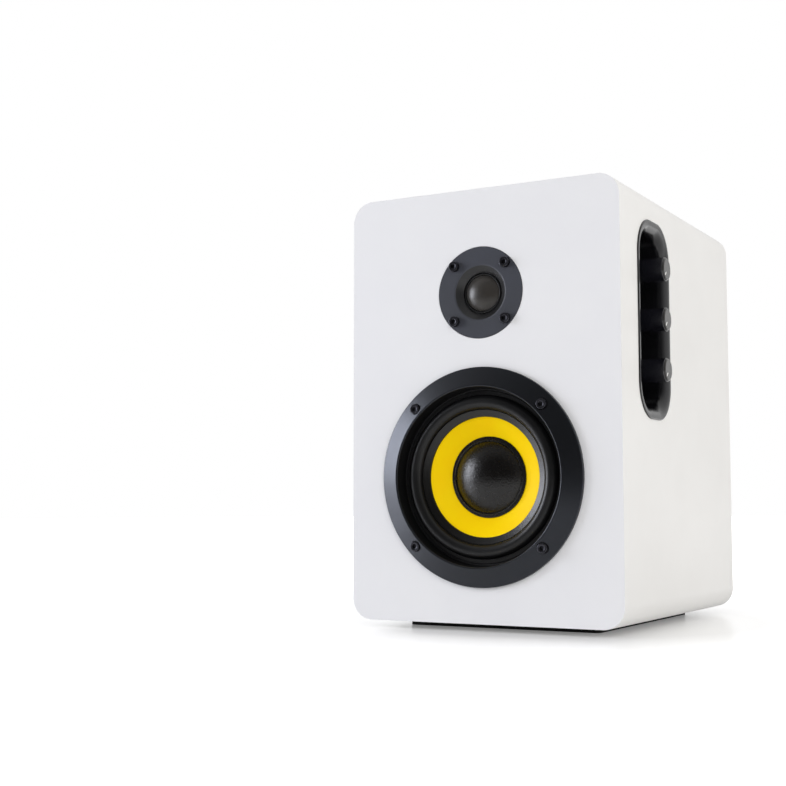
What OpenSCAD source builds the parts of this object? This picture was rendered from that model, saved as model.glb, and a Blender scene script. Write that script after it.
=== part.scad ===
// Powered two-way bookshelf speaker with a recessed control panel in its right side.
// Millimetres. +X is the control side, +Y the back and +Z up.
// The origin is the centre of the base pad's underside.

/* [Cabinet] */
// Width of the cabinet
body_w = 160; // [156:1:200]
// Height of the cabinet, without its base pad
body_h = 236; // [232:1:300]
// Depth of the cabinet
body_d = 199; // [190:1:260]
// Outside radius of the four long corners
corner_r = 12; // [6:1:18]
// Thickness of the shell's walls
wrap_t = 12; // [10:1:14]
// Thickness of the front baffle
baffle_t = 15; // [12:1:18]
// Thickness of the rear panel
rear_t = 12; // [10:1:15]
// How far the rear panel sits inside the shell's edge
rear_inset = 1.5; // [1:0.5:4]
// Rounding along the front edge
front_round = 1; // [0.6:0.2:2]
// Section of the square battens along the inside corners
batten = 8; // [6:1:8]

/* [Base pad] */
// Thickness of the base pad
pad_h = 4; // [2:0.5:8]
// Setback of the base pad from each side of the cabinet
pad_side = 23; // [10:1:30]
// Setback of the base pad from the front and the back
pad_end = 24; // [10:1:40]

/* [Woofer] */
// Height of the woofer's centre above the cabinet's underside
woofer_up = 78.5; // [76:0.5:82]
// Outside radius of the trim ring
trim_r = 59.2; // [58.5:0.1:60]
// Radius of the trim ring's inner lip
trim_lip_r = 48.2; // [47.5:0.1:48.8]
// Height of the trim ring at its outer edge
trim_edge_h = 2.2; // [1.6:0.1:3]
// Height of the trim ring at its inner lip
trim_lip_h = 6.5; // [5:0.1:8]
// Depth of the chassis flange's face behind the baffle's face
flange_depth = 2.4; // [2.2:0.1:3]
// Thickness of the chassis flange
flange_t = 2; // [1.5:0.1:2.5]
// Thickness of the foam gasket
gasket_t = 1; // [0.5:0.1:1.5]
// Radius of the circle that the woofer screws lie on
woofer_screw_r = 53; // [52.5:0.1:53.5]
// Mean radius of the half-roll surround
roll_mid_r = 40.35; // [40:0.05:40.6]
// Radius of the surround's roll in section
roll_r = 3.65; // [3.2:0.05:3.9]
// Radius where the coloured part of the cone begins
flap_in_r = 32.4; // [30:0.1:34]
// Radius of the dust cap's flange
cap_flange_r = 22.1; // [21:0.1:24]
// Radius of the dust cap's dome
cap_r = 19.3; // [17:0.1:20]
// Height of the dust cap's dome
cap_h = 6.7; // [5:0.1:8]
// Depth of the cone at the dust cap's flange
cone_depth = 10; // [9:0.1:10.5]
// Radius of the voice coil former
former_r = 13; // [12.5:0.1:13.5]
// Radius of the woofer magnet
magnet_r = 36; // [30:0.5:38]
// Thickness of the woofer magnet
magnet_t = 12; // [10:0.5:18]
// Greatest travel of the woofer cone each way
cone_travel = 3; // [1:0.5:3]

/* [Tweeter] */
// Distance of the tweeter's axis above the woofer's
driver_pitch = 100; // [94:0.5:110]
// Radius of the tweeter's face plate
plate_r = 25.1; // [24.6:0.1:27]
// How far the face plate stands proud of the baffle
plate_proud = 0.3; // [0.1:0.1:1]
// Depth of the flared mouth
flare_depth = 3.2; // [3:0.1:4]
// Radius of the mouth at the plate's face
flare_face_r = 15.2; // [14:0.1:16]
// Radius of the mouth's throat
throat_r = 11.4; // [11.2:0.1:12]
// Radius of the silk dome
dome_r = 9.7; // [9:0.1:9.9]
// Height of the silk dome
dome_h = 3.5; // [2.5:0.1:4]
// Radius of the circle that the tweeter screws lie on
tweeter_screw_r = 21.5; // [21.3:0.1:21.8]
// Radius of the tweeter magnet
tweeter_magnet_r = 17.5; // [16.8:0.1:18]

/* [Side controls] */
// Distance of the control panel's centre behind the cabinet's front
controls_back = 52.1; // [48:0.5:80]
// Distance of the control panel's centre below the cabinet's top
controls_down = 72; // [68:0.5:90]
// Length of the control panel, up and down
bezel_l = 109; // [104:0.5:110]
// Width of the control panel, front to back
bezel_w = 51.8; // [48:0.2:56]
// Outside corner radius of the control panel
bezel_r = 20; // [16:0.5:22]
// Width of the rounded lip around the recess
lip_w = 7; // [6:0.1:8]
// Thickness of the recessed tray's floor
tray_t = 2; // [1.5:0.1:2.5]
// Depth of the recess
recess_depth = 17; // [14:0.5:18]
// Height of the lip above the cabinet's side
lip_h = 0.8; // [0.5:0.1:1.5]
// Distance between neighbouring knobs
knob_pitch = 27.6; // [24:0.1:29]
// Radius of each knob
knob_r = 6.5; // [6:0.1:8.5]
// How far the knobs stand out of the cabinet's side
knob_out = 8.1; // [5:0.1:10]
// Width of the knob's rim around its end cap
knob_rim = 0.5; // [0.4:0.1:1]
// Radius of the control shafts
shaft_r = 3; // [2.8:0.1:3.2]

/* [Rear] */
// Height of the amplifier plate's lower edge above the cabinet's underside
amp_low = 15; // [13:1:25]
// Width of the amplifier plate
amp_w = 112; // [110:1:118]
// Height of the amplifier plate
amp_h = 124; // [122:1:128]
// Thickness of the amplifier plate
amp_t = 2; // [1.5:0.5:3]
// Distance of the port's centre below the cabinet's top
port_down = 43; // [41:1:55]
// Inside radius of the port tube
port_r = 17; // [14:0.5:18]
// Length of the port tube behind the panel's face
port_len = 88; // [60:1:100]
// Radius of the port's flared mouth in section
port_flare = 8; // [5:0.5:8]
// Wall of the port tube
port_wall = 2; // [1.5:0.1:2.5]
// Angle of the rocker from level when it is off
rocker_tilt = 8; // [5:1:9]

/* [Fits] */
// Gap around panels and trays in their cut-outs
panel_gap = 0.3; // [0.2:0.05:0.6]
// Radial gap between a shaft and the bore it turns in
running_gap = 0.05; // [0.02:0.01:0.08]
// Gap of a glue line or of a pressed-on knob
glue_gap = 0.1; // [0.05:0.01:0.15]
// Radial gap between a screw and its hole
screw_gap = 0.15; // [0.1:0.05:0.3]

/* [Hidden] */
$fn = 64;
eps = 0.01;

white = "#EDECEE";
black = "#1C1C1E";
charcoal = "#3A3D45";
steel = "#A7A9AC";
ferrite = "#2E2D2F";
copper = "#B4693C";
circuit = "#23552F";

front_y = -body_d / 2;
side_x = body_w / 2;
inner_w = body_w - 2 * wrap_t;
inner_h = body_h - 2 * wrap_t;
inner_z = pad_h + wrap_t;
shell_y = front_y + baffle_t;
rear_y = body_d / 2 - rear_inset;
rear_in_y = rear_y - rear_t;

// Screws: an M3 socket-cap head, its key socket and its shank
head_r = 2.75;
head_h = 3;
key_across = 2.5;
key_depth = 1.6;
screw_r = 1.5;
screw_bite = 8;

// ---- Woofer stack, as heights over the baffle's face ----
rebate_r = trim_r - 1.2;
flange_r = rebate_r - panel_gap;
flange_z = -flange_depth;
flange_back = flange_z - flange_t;
rebate_z = flange_back - gasket_t;
basket_r = 47;
basket_mouth_r = 44;
well_r = trim_lip_r - 0.8;
edge_break = 0.6;
cone_t = 0.9;
cone_slope = 8 / 14.6;
roll_z = flange_z + 0.4;
roll_t = 0.6;
spider_z = -19.6;
spider_r = 34;
spider_t = 0.5;
seat_z = -25;
top_plate_t = 5;
top_plate_r = 32.5;
gap_r = former_r + 1.2;
pole_r = former_r - 0.7;
former_t = 0.3;
coil_t = 0.75;
coil_overhang = cone_travel + 0.5;
magnet_z = seat_z - top_plate_t;
yoke_z = magnet_z - magnet_t;
yoke_t = 5;
basket_angles = [45 : 90 : 315];
tag_turn = -45;
tag_r = basket_mouth_r - 1.1;
tag_t = 0.8;
tag_z = -20;
tag_pitch = 7;

// ---- Tweeter stack, as heights over the baffle's face ----
plate_z = -flare_depth;
tweeter_top_t = 3;
tweeter_top_z = plate_z - 0.8;
tweeter_magnet_t = 8;
tweeter_gap_r = dome_r + 0.9;
tweeter_magnet_z = tweeter_top_z - tweeter_top_t;
tweeter_yoke_z = tweeter_magnet_z - tweeter_magnet_t;
tweeter_yoke_t = 3.5;
tweeter_inner_r = 16.5;
silk_t = 0.3;
spotface_depth = 0.6;
cap_body_r = 5.5;
cap_body_l = 24;

// ---- Side controls, as heights over the cabinet's side ----
// How far the lip covers the cabinet around the tray
lip_cover = 3;
tray_l = bezel_l - 2 * lip_cover;
tray_w = bezel_w - 2 * lip_cover;
tray_r = bezel_r - lip_cover;
lip_roll = lip_w - 1;
floor_z = -recess_depth;
collar_h = 1.5;
collar_r = knob_r + 1.2;
knob_z = floor_z + collar_h + 0.4;
cap_t = 1.5;
knob_end_z = knob_out - cap_t;
knob_cap_r = knob_r - knob_rim;
bushing_r = shaft_r + 1.2;
pot_size = 16;
pot_h = 8;
pot_z = floor_z - tray_t;
board_t = 1.6;
knob_places = [-knob_pitch, 0, knob_pitch];
// The pointer stands at half past seven, seen from outside, when a knob is fully down
tick_turn = -45;

// ---- Amplifier plate, as places seen from behind: x right, y up, z outwards ----
rca_at = [-34, 29];
rca_pitch = 16;
block_at = [22, 32];
switch_at = [-33, -38];
inlet_at = [18, -38];
sink_at = [-6, -2];
amp_inner_z = -18.4;
flange_out = 2;
plate_inset = 4;
plate_r_corner = 4;
cut_margin = 7;
amp_board_w = 92;
amp_board_h = 68;
amp_board_low = 16;
main_cap_r = 8;
main_cap_h = 25;
small_cap_r = 5;
small_cap_h = 14;
sink_w = 60;
sink_l = 20;
sink_t = 3;
fin_t = 1.6;
fins = 8;
inlet_depth = 16;
switch_depth = 15;
amp_cut_w = amp_w - 2 * cut_margin;
amp_cut_h = amp_h - 2 * cut_margin;
rca_w = 12;
rca_l = 30;
rca_r = 4.15;
block_w = 44;
block_l = 26;
block_h = 9;
lever_pitch = 22;
lever_pin_r = 1;
lever_up = 6;
lever_z = amp_t + 5;
lever_w = 13;
switch_w = 19;
switch_l = 13;
rocker_r = 5.2;
rocker_w = 15.4;
inlet_w = 26;
inlet_l = 16;
port_z = rear_y;

// ---- Shared shapes ----

// A rectangle w by h with round corners, centred
module round_rect(w, h, r) {
    union() {
        square([w - 2 * r, h], center = true);
        square([w, h - 2 * r], center = true);
        for (sx = [-1, 1], sy = [-1, 1]) translate([sx * (w / 2 - r), sy * (h / 2 - r)]) circle(r = r);
    }
}

module round_slab(w, h, r, t) {
    linear_extrude(height = t) round_rect(w, h, r);
}

// Sweeps a profile once round the outline of a rounded rectangle.
// In the profile x is the distance outside the outline and y the height.
module sweep_round_rect(w, h, r) {
    for (turn = [0 : 3]) {
        across = turn % 2 == 0 ? w : h;
        along = turn % 2 == 0 ? h : w;
        rotate([0, 0, 90 * turn]) {
            translate([across / 2 - r, along / 2 - r, 0])
                rotate_extrude(angle = 90) translate([r, 0]) children();
            translate([across / 2, along / 2 - r, 0]) rotate([90, 0, 0])
                linear_extrude(height = along - 2 * r) children();
        }
    }
}

module ring(r_in, r_out, z0, z1) {
    difference() {
        translate([0, 0, z0]) cylinder(r = r_out, h = z1 - z0);
        translate([0, 0, z0 - 1]) cylinder(r = r_in, h = z1 - z0 + 2);
    }
}

module hole(r, z0, z1) {
    translate([0, 0, z0]) cylinder(r = r, h = z1 - z0);
}

// A socket-cap screw whose head sits on z = 0
module cap_screw(length) {
    difference() {
        union() {
            cylinder(r = head_r, h = head_h);
            hole(screw_r, -length, eps);
        }
        translate([0, 0, head_h - key_depth]) cylinder(d = key_across / cos(30), h = key_depth + 1, $fn = 6);
    }
}

// A pan-head screw whose head sits on z = 0, with a cross recess
module pan_screw(length) {
    pan_r = 3;
    pan_h = 1.8;
    difference() {
        union() {
            rotate_extrude() polygon([[0, 0], [pan_r, 0], [pan_r, 0.8], [pan_r - 0.9, pan_h], [0, pan_h]]);
            hole(screw_r, -length, eps);
        }
        for (turn = [0, 90]) rotate([0, 0, turn]) translate([-1.7, -0.4, pan_h - 1]) cube([3.4, 0.8, 2]);
    }
}

// A hemispherical shell segment of base radius r and height h over z = 0
module dome_shell(r, h, t) {
    ball_r = (r * r + h * h) / (2 * h);
    rotate_extrude() intersection() {
        translate([0, h - ball_r]) difference() {
            circle(r = ball_r, $fn = 180);
            circle(r = ball_r - t, $fn = 180);
        }
        square([r + t, h + 1]);
    }
}

// Places of the sub-assemblies; each one's local z points out of the cabinet
woofer_z = pad_h + woofer_up;
tweeter_z = woofer_z + driver_pitch;
amp_z = pad_h + amp_low + amp_h / 2;

module at_woofer() {
    translate([0, front_y, woofer_z]) rotate([90, 0, 0]) children();
}

module at_tweeter() {
    translate([0, front_y, tweeter_z]) rotate([90, 0, 0]) children();
}

module at_controls() {
    translate([side_x, front_y + controls_back, pad_h + body_h - controls_down])
        rotate([0, 90, 0]) children();
}

module at_amp() {
    translate([0, rear_y, amp_z]) rotate([90, 0, 180]) children();
}

module at_port() {
    translate([0, rear_y, pad_h + body_h - port_down]) rotate([90, 0, 180]) children();
}

module at_basket_corners(r) {
    for (turn = basket_angles) rotate([0, 0, turn]) translate([r, 0, 0]) children();
}

module at_corners(x, y) {
    for (sx = [-1, 1], sy = [-1, 1]) translate([sx * x, sy * y, 0]) children();
}

// ---- Cabinet ----

module cabinet_wrap() {
    color(white) difference() {
        translate([0, shell_y, pad_h + body_h / 2]) rotate([-90, 0, 0])
            round_slab(body_w, body_h, corner_r, body_d - baffle_t);
        translate([-inner_w / 2, shell_y - 1, inner_z]) cube([inner_w, body_d, inner_h]);
        at_controls() translate([0, 0, -wrap_t - 1])
            round_slab(tray_l + 2 * panel_gap, tray_w + 2 * panel_gap, tray_r + panel_gap, wrap_t + 2);
    }
}

module front_baffle() {
    color(white) difference() {
        translate([0, shell_y, pad_h + body_h / 2]) rotate([90, 0, 0]) {
            round_slab(body_w, body_h, corner_r, baffle_t - front_round);
            round_slab(body_w - 2 * front_round, body_h - 2 * front_round, corner_r - front_round, baffle_t);
            sweep_round_rect(body_w, body_h, corner_r)
                translate([-front_round, baffle_t - front_round]) intersection() {
                    circle(r = front_round);
                    square(front_round);
                }
        }
        at_woofer() {
            hole(basket_r + 2 * panel_gap, -baffle_t - 1, 1);
            hole(rebate_r, rebate_z, 1);
            at_basket_corners(woofer_screw_r) hole(screw_r + screw_gap, -baffle_t - 1, 1);
        }
        at_tweeter() {
            hole(tweeter_magnet_r + 3 * panel_gap, -baffle_t - 1, 1);
            hole(plate_r + panel_gap / 2, plate_z, 1);
            at_basket_corners(tweeter_screw_r) hole(screw_r + screw_gap, -baffle_t - 1, 1);
        }
    }
}

module rear_panel() {
    color("#E4E3E2") difference() {
        translate([-inner_w / 2 + panel_gap, rear_in_y, inner_z + panel_gap])
            cube([inner_w - 2 * panel_gap, rear_t, inner_h - 2 * panel_gap]);
        at_amp() translate([-amp_cut_w / 2, -amp_cut_h / 2, -rear_t - 1])
            cube([amp_cut_w, amp_cut_h, rear_t + 2]);
        at_amp_screws() hole(screw_r + screw_gap, -rear_t - 1, 1);
        at_port() hole(port_r + port_flare + panel_gap, -rear_t - 1, 1);
        at_rear_screws() hole(screw_r + screw_gap, -rear_t - 1, 1);
    }
}

module at_amp_screws() {
    at_amp() at_corners(amp_w / 2 - plate_inset, amp_h / 2 - plate_inset) children();
}

module at_rear_screws() {
    translate([0, rear_y, pad_h + body_h / 2]) rotate([90, 0, 180])
        at_corners(inner_w / 2 - batten / 2, inner_h / 2 - batten / 2) children();
}

module rear_panel_screws() {
    color(black) at_rear_screws() pan_screw(rear_t + screw_bite);
}

module corner_battens() {
    color("#C9A877") difference() {
        translate([0, 0, pad_h + body_h / 2])
            for (sx = [-1, 1], sz = [-1, 1]) mirror([sx < 0 ? 1 : 0, 0, 0]) mirror([0, 0, sz < 0 ? 1 : 0])
                translate([inner_w / 2 - batten, shell_y, inner_h / 2 - batten])
                    cube([batten, rear_in_y - shell_y, batten]);
        at_rear_screws() hole(screw_r + screw_gap, -rear_t - screw_bite - 1, -rear_t + 1);
        at_controls() translate([0, 0, pot_z - pot_h])
            round_slab(tray_l + 2 * panel_gap, tray_w + 2 * panel_gap, tray_r + panel_gap, recess_depth);
    }
}

module damping_pad() {
    pad_t = 8;
    color("#6E6C68") translate([-inner_w / 2, shell_y + 20, inner_z + batten + 6])
        cube([pad_t, rear_in_y - shell_y - 50, inner_h - 2 * batten - 24]);
}

module base_pad() {
    color(black) round_slab(body_w - 2 * pad_side, body_d - 2 * pad_end, 4, pad_h);
}

// ---- Woofer ----

// Height of the trim ring's conical face at radius r
function trim_face(r) =
    let(run = trim_r - edge_break - trim_lip_r - 0.6)
    trim_edge_h + (trim_lip_h - trim_edge_h) * (trim_r - edge_break - r) / run;

// Height of the cone's face at radius r
function cone_face(r) = -cone_depth + (r - cap_flange_r) * cone_slope;

screw_seat = trim_face(woofer_screw_r + head_r + 0.4);

module woofer_trim_ring() {
    color(charcoal) at_woofer() difference() {
        rotate_extrude($fn = 128) polygon([
            [flange_r, flange_z], [flange_r, 0], [trim_r, 0], [trim_r, trim_edge_h - edge_break],
            [trim_r - edge_break, trim_edge_h], [trim_lip_r + 0.6, trim_lip_h],
            [trim_lip_r, trim_lip_h - 0.4], [well_r, flange_z]
        ]);
        at_basket_corners(woofer_screw_r) {
            hole(head_r + 0.4, screw_seat, trim_lip_h + 1);
            hole(screw_r + screw_gap, flange_z - 1, trim_lip_h);
        }
    }
}

module woofer_screws() {
    color(black) at_woofer() at_basket_corners(woofer_screw_r)
        translate([0, 0, screw_seat]) cap_screw(screw_seat + baffle_t - 1);
}

module woofer_basket() {
    wall_out = 35.8;
    wall_in = 34.2;
    ledge_z = spider_z - spider_t;
    color(black) at_woofer() difference() {
        rotate_extrude() polygon([
            [basket_mouth_r, flange_z], [flange_r, flange_z], [flange_r, flange_back],
            [basket_r, flange_back], [wall_out, -21.5], [top_plate_r + 1.1, -21.5],
            [top_plate_r + 1.1, seat_z], [gap_r + 5, seat_z], [gap_r + 5, seat_z + 1.6],
            [spider_r - 2, seat_z + 1.6], [spider_r - 2, ledge_z], [wall_in, ledge_z],
            [basket_mouth_r, flange_back - 1]
        ]);
        for (turn = [0 : 90 : 270]) rotate([0, 0, turn]) translate([wall_in - 6, -15, ledge_z + 1.6])
            cube([basket_r, 30, flange_back - ledge_z - 3]);
        at_basket_corners(woofer_screw_r) hole(screw_r + screw_gap, flange_back - 1, flange_z + 1);
    }
}

module woofer_gasket() {
    color("#3B3B3B") at_woofer() difference() {
        ring(basket_r + 1, flange_r, rebate_z, flange_back);
        at_basket_corners(woofer_screw_r) hole(screw_r + screw_gap, rebate_z - 1, flange_back + 1);
    }
}

module woofer_surround() {
    flap_lift = 0.5;
    roll_in_r = roll_mid_r - roll_r;
    flap_out_r = roll_in_r + roll_t / 2;
    color("#4A4B50") at_woofer() rotate_extrude($fn = 128) {
        intersection() {
            translate([roll_mid_r, roll_z]) difference() {
                circle(r = roll_r + roll_t / 2);
                circle(r = roll_r - roll_t / 2);
            }
            translate([roll_in_r - 1, roll_z]) square([2 * roll_r + 2, roll_r + 1]);
        }
        translate([roll_mid_r + roll_r - roll_t / 2, flange_z]) square([well_r - roll_mid_r - roll_r, 0.5]);
        polygon([
            [flap_in_r, cone_face(flap_in_r) + glue_gap], [flap_out_r, cone_face(flap_out_r) + glue_gap],
            [flap_out_r, roll_z + flap_lift], [roll_in_r - roll_t / 2, cone_face(roll_in_r) + flap_lift],
            [flap_in_r, cone_face(flap_in_r) + flap_lift]
        ]);
    }
}

module woofer_cone() {
    edge_r = roll_mid_r - roll_r - 0.3;
    color("#F4CC06") at_woofer() rotate_extrude($fn = 128) polygon([
        [former_r, cone_face(former_r)], [edge_r, cone_face(edge_r)],
        [edge_r, cone_face(edge_r) - cone_t], [former_r, cone_face(former_r) - cone_t]
    ]);
}

module woofer_dust_cap() {
    cap_z = cone_face(cap_flange_r) + 0.7;
    bead_r = cap_r + 0.7;
    color("#2A2A2D") at_woofer() {
        translate([0, 0, cap_z]) dome_shell(cap_r, cap_h, 0.8);
        rotate_extrude($fn = 128) polygon([
            [cap_r - 0.6, cone_face(cap_r - 0.6) + glue_gap],
            [cap_flange_r, cone_face(cap_flange_r) + glue_gap], [cap_flange_r, cap_z],
            [bead_r + 0.4, cap_z], [bead_r + 0.2, cap_z + 0.4], [bead_r - 0.2, cap_z + 0.4],
            [bead_r - 0.4, cap_z], [cap_r - 0.6, cap_z + eps]
        ]);
    }
}

module woofer_coil_former() {
    color("#B98A4A") at_woofer()
        ring(former_r - former_t, former_r, magnet_z - coil_overhang - 0.5, cone_face(former_r) + 0.4);
}

module woofer_voice_coil() {
    color(copper) at_woofer()
        ring(former_r, former_r + coil_t, magnet_z - coil_overhang, seat_z + coil_overhang);
}

module woofer_spider() {
    waves = 4;
    steps = 32;
    first_r = former_r + glue_gap;
    wave_span = spider_r - 2.4 - first_r;
    function wave(k) = spider_z + 0.9 * sin(360 * waves * k / steps);
    function wave_r(k) = first_r + wave_span * k / steps;
    color("#C8A24A") at_woofer() rotate_extrude() polygon(concat(
        [for (k = [0 : steps]) [wave_r(k), wave(k)]], [[spider_r, spider_z]],
        [[spider_r, spider_z - spider_t]], [for (k = [steps : -1 : 0]) [wave_r(k), wave(k) - spider_t]]
    ));
}

module woofer_top_plate() {
    color(steel) at_woofer() ring(gap_r, top_plate_r, magnet_z, seat_z);
}

module woofer_magnet() {
    color(ferrite) at_woofer() ring(gap_r + 3, magnet_r, yoke_z, magnet_z);
}

module woofer_back_plate() {
    vent_r = 4;
    color(steel) at_woofer() difference() {
        union() {
            hole(magnet_r - 4, yoke_z - yoke_t, yoke_z);
            hole(pole_r, yoke_z, seat_z + 1);
        }
        hole(vent_r, yoke_z - yoke_t - 1, seat_z + 2);
    }
}

// A terminal strip on the basket's outside, with its two tags
module woofer_terminals() {
    strip_w = 12;
    color("#8A5A2B") at_woofer() rotate([0, 0, tag_turn]) difference() {
        union() {
            translate([basket_mouth_r - 8, -strip_w / 2, -18]) cube([7, strip_w, 7]);
            for (side = [-1, 1]) translate([tag_r - tag_t / 2, side * tag_pitch / 2 - 1.2, tag_z])
                cube([tag_t, 2.4, 10]);
        }
        translate([0, 0, -21.5]) cylinder(r1 = 36, r2 = 47.2, h = 17.1);
    }
}

// ---- Tweeter ----

module tweeter_faceplate() {
    color("#45474E") at_tweeter() difference() {
        union() {
            rotate_extrude() polygon([
                [throat_r, plate_z], [plate_r, plate_z], [plate_r, plate_proud - 0.2],
                [plate_r - 0.2, plate_proud], [flare_face_r, plate_proud]
            ]);
            ring(throat_r + 2.8, tweeter_inner_r, tweeter_top_z, plate_z);
        }
        at_basket_corners(tweeter_screw_r) {
            hole(screw_r + screw_gap, plate_z - 1, plate_proud + 1);
            hole(head_r + screw_gap, plate_proud - spotface_depth, plate_proud + 1);
        }
    }
}

module tweeter_screws() {
    color(black) at_tweeter() at_basket_corners(tweeter_screw_r)
        translate([0, 0, plate_proud - spotface_depth]) cap_screw(baffle_t - 2);
}

module tweeter_dome() {
    skirt_h = 1;
    color("#4A4540") at_tweeter() {
        translate([0, 0, plate_z - 0.3]) dome_shell(dome_r, dome_h, silk_t);
        ring(dome_r - silk_t, dome_r, plate_z - 0.3 - skirt_h, plate_z - 0.3 + eps);
    }
}

module tweeter_surround() {
    roll_start = dome_r + glue_gap;
    roll = (throat_r - 0.2 - roll_start) / 2;
    color("#3A3734") at_tweeter() rotate_extrude() {
        intersection() {
            translate([roll_start + roll, plate_z - 0.5]) difference() {
                circle(r = roll);
                circle(r = roll - silk_t);
            }
            translate([roll_start, plate_z - 0.5]) square([2 * roll, roll]);
        }
        translate([throat_r - 0.2 - silk_t, tweeter_top_z]) square([silk_t, 0.4]);
        translate([throat_r - 0.2, tweeter_top_z]) square([2.8, silk_t]);
    }
}

module tweeter_voice_coil() {
    color(copper) at_tweeter() ring(dome_r - silk_t, dome_r, tweeter_magnet_z - 0.5, plate_z - 1.3);
}

module tweeter_top_plate() {
    color(steel) at_tweeter() ring(tweeter_gap_r, tweeter_inner_r, tweeter_magnet_z, tweeter_top_z);
}

module tweeter_magnet() {
    color(ferrite) at_tweeter() ring(tweeter_gap_r + 1.5, tweeter_magnet_r, tweeter_yoke_z, tweeter_magnet_z);
}

module tweeter_back_plate() {
    color(steel) at_tweeter() {
        hole(tweeter_inner_r, tweeter_yoke_z - tweeter_yoke_t, tweeter_yoke_z);
        hole(dome_r - silk_t - 0.5, tweeter_yoke_z - eps, tweeter_top_z - 1);
    }
}

// The film capacitor glued on the tweeter's back plate
module tweeter_capacitor() {
    color("#C9A227") at_tweeter()
        translate([-cap_body_l / 2, 0, tweeter_yoke_z - tweeter_yoke_t - cap_body_r])
            rotate([0, 90, 0]) cylinder(r = cap_body_r, h = cap_body_l);
}

// ---- Side controls ----

module control_bezel() {
    color("#222225") at_controls() difference() {
        union() {
            sweep_round_rect(bezel_l, bezel_w, bezel_r) {
                intersection() {
                    translate([-1, lip_h - lip_roll]) circle(r = lip_roll);
                    union() {
                        translate([-lip_w, lip_h - lip_roll]) square([lip_w - lip_cover, lip_roll + 1]);
                        translate([-lip_w, 0]) square([lip_w - 1, lip_roll]);
                    }
                }
                polygon([[-1 - eps, 0], [0, 0], [0, lip_h - 0.5], [-0.5, lip_h], [-1 - eps, lip_h]]);
            }
            translate([0, 0, pot_z]) difference() {
                round_slab(tray_l, tray_w, tray_r, recess_depth + tray_t + lip_h - lip_roll);
                translate([0, 0, tray_t])
                    round_slab(bezel_l - 2 * lip_w, bezel_w - 2 * lip_w, bezel_r - lip_w, recess_depth);
            }
            for (x = knob_places) translate([x, 0, 0]) hole(collar_r, floor_z - eps, floor_z + collar_h);
        }
        for (x = knob_places) translate([x, 0, 0])
            hole(bushing_r + screw_gap, pot_z - 1, floor_z + collar_h + 1);
    }
}

// A knob with its blind bore; its axis is the control panel's local z
module knob(x) {
    skirt_t = 1.2;
    color(black) at_controls() translate([x, 0, 0]) difference() {
        rotate_extrude() polygon([
            [0, knob_z], [knob_r - 0.4, knob_z], [knob_r, knob_z + 0.4], [knob_r, knob_z + 3],
            [knob_r - 0.4, knob_z + 3.4], [knob_r - 0.4, knob_z + 4], [knob_r, knob_z + 4.4],
            [knob_r, knob_end_z + 0.3], [knob_r - 0.3, knob_end_z + 0.6],
            [knob_cap_r + 0.1, knob_end_z + 0.6], [knob_cap_r + 0.1, knob_end_z], [0, knob_end_z]
        ]);
        hole(shaft_r + 0.02, knob_z - 1, knob_end_z - skirt_t);
    }
}

module knob_cap(x) {
    color("#B9BABD") at_controls() translate([x, 0, 0]) rotate([0, 0, tick_turn]) difference() {
        rotate_extrude() polygon([
            [0, knob_end_z], [knob_cap_r, knob_end_z], [knob_cap_r, knob_out - 0.7],
            [knob_cap_r - 0.2, knob_out - 0.3], [knob_cap_r - 0.7, knob_out], [0, knob_out]
        ]);
        translate([knob_cap_r - 3.4, -0.45, knob_out - 0.3]) cube([2.6, 0.9, 1]);
    }
}

module control_shaft(x) {
    color(steel) at_controls() translate([x, 0, 0]) hole(shaft_r, pot_z - pot_h + 1, knob_end_z - 1.5);
}

module volume_knob() { knob(-knob_pitch); }
module treble_knob() { knob(0); }
module bass_knob() { knob(knob_pitch); }
module volume_knob_cap() { knob_cap(-knob_pitch); }
module treble_knob_cap() { knob_cap(0); }
module bass_knob_cap() { knob_cap(knob_pitch); }
module volume_shaft() { control_shaft(-knob_pitch); }
module treble_shaft() { control_shaft(0); }
module bass_shaft() { control_shaft(knob_pitch); }

module potentiometers() {
    color("#8E9094") at_controls() for (x = knob_places) translate([x, 0, 0]) difference() {
        union() {
            translate([-pot_size / 2, -pot_size / 2, pot_z - pot_h]) cube([pot_size, pot_size, pot_h]);
            hole(bushing_r, pot_z - eps, floor_z + collar_h - 0.2);
        }
        hole(shaft_r + running_gap, pot_z - pot_h + 0.8, floor_z + collar_h + 1);
    }
}

module control_board() {
    color(circuit) at_controls() translate([-tray_l / 2 + 6, -tray_w / 2 + 5, pot_z - pot_h - board_t])
        cube([tray_l - 12, tray_w - 10, board_t]);
}

// ---- Rear ----

module amp_plate() {
    color("#26272A") at_amp() difference() {
        round_slab(amp_w, amp_h, plate_r_corner, amp_t);
        at_corners(amp_w / 2 - plate_inset, amp_h / 2 - plate_inset)
            hole(screw_r + screw_gap, -1, amp_t + 1);
        translate(rca_at) cube([rca_w + panel_gap, rca_l + panel_gap, 9], center = true);
        translate(block_at) cube([block_w - 4, block_l - 4, 9], center = true);
        translate(switch_at) cube([switch_w + panel_gap, switch_l + panel_gap, 9], center = true);
        translate(inlet_at) cube([inlet_w + panel_gap, inlet_l + panel_gap, 9], center = true);
    }
}

module amp_plate_screws() {
    color(black) at_amp_screws() translate([0, 0, amp_t]) pan_screw(rear_t);
}

module amp_board() {
    color(circuit) at_amp() translate([-amp_board_w / 2, -amp_board_low, amp_inner_z - board_t])
        cube([amp_board_w, amp_board_h, board_t]);
}

module heatsink() {
    color(steel) at_amp() translate(sink_at) {
        translate([-sink_w / 2, -sink_l / 2, -sink_t]) cube([sink_w, sink_l, sink_t]);
        for (k = [0 : fins - 1])
            translate([-sink_w / 2 + k * (sink_w - fin_t) / (fins - 1), -sink_l / 2, amp_inner_z])
                cube([fin_t, sink_l, -amp_inner_z - sink_t + eps]);
    }
}

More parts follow.
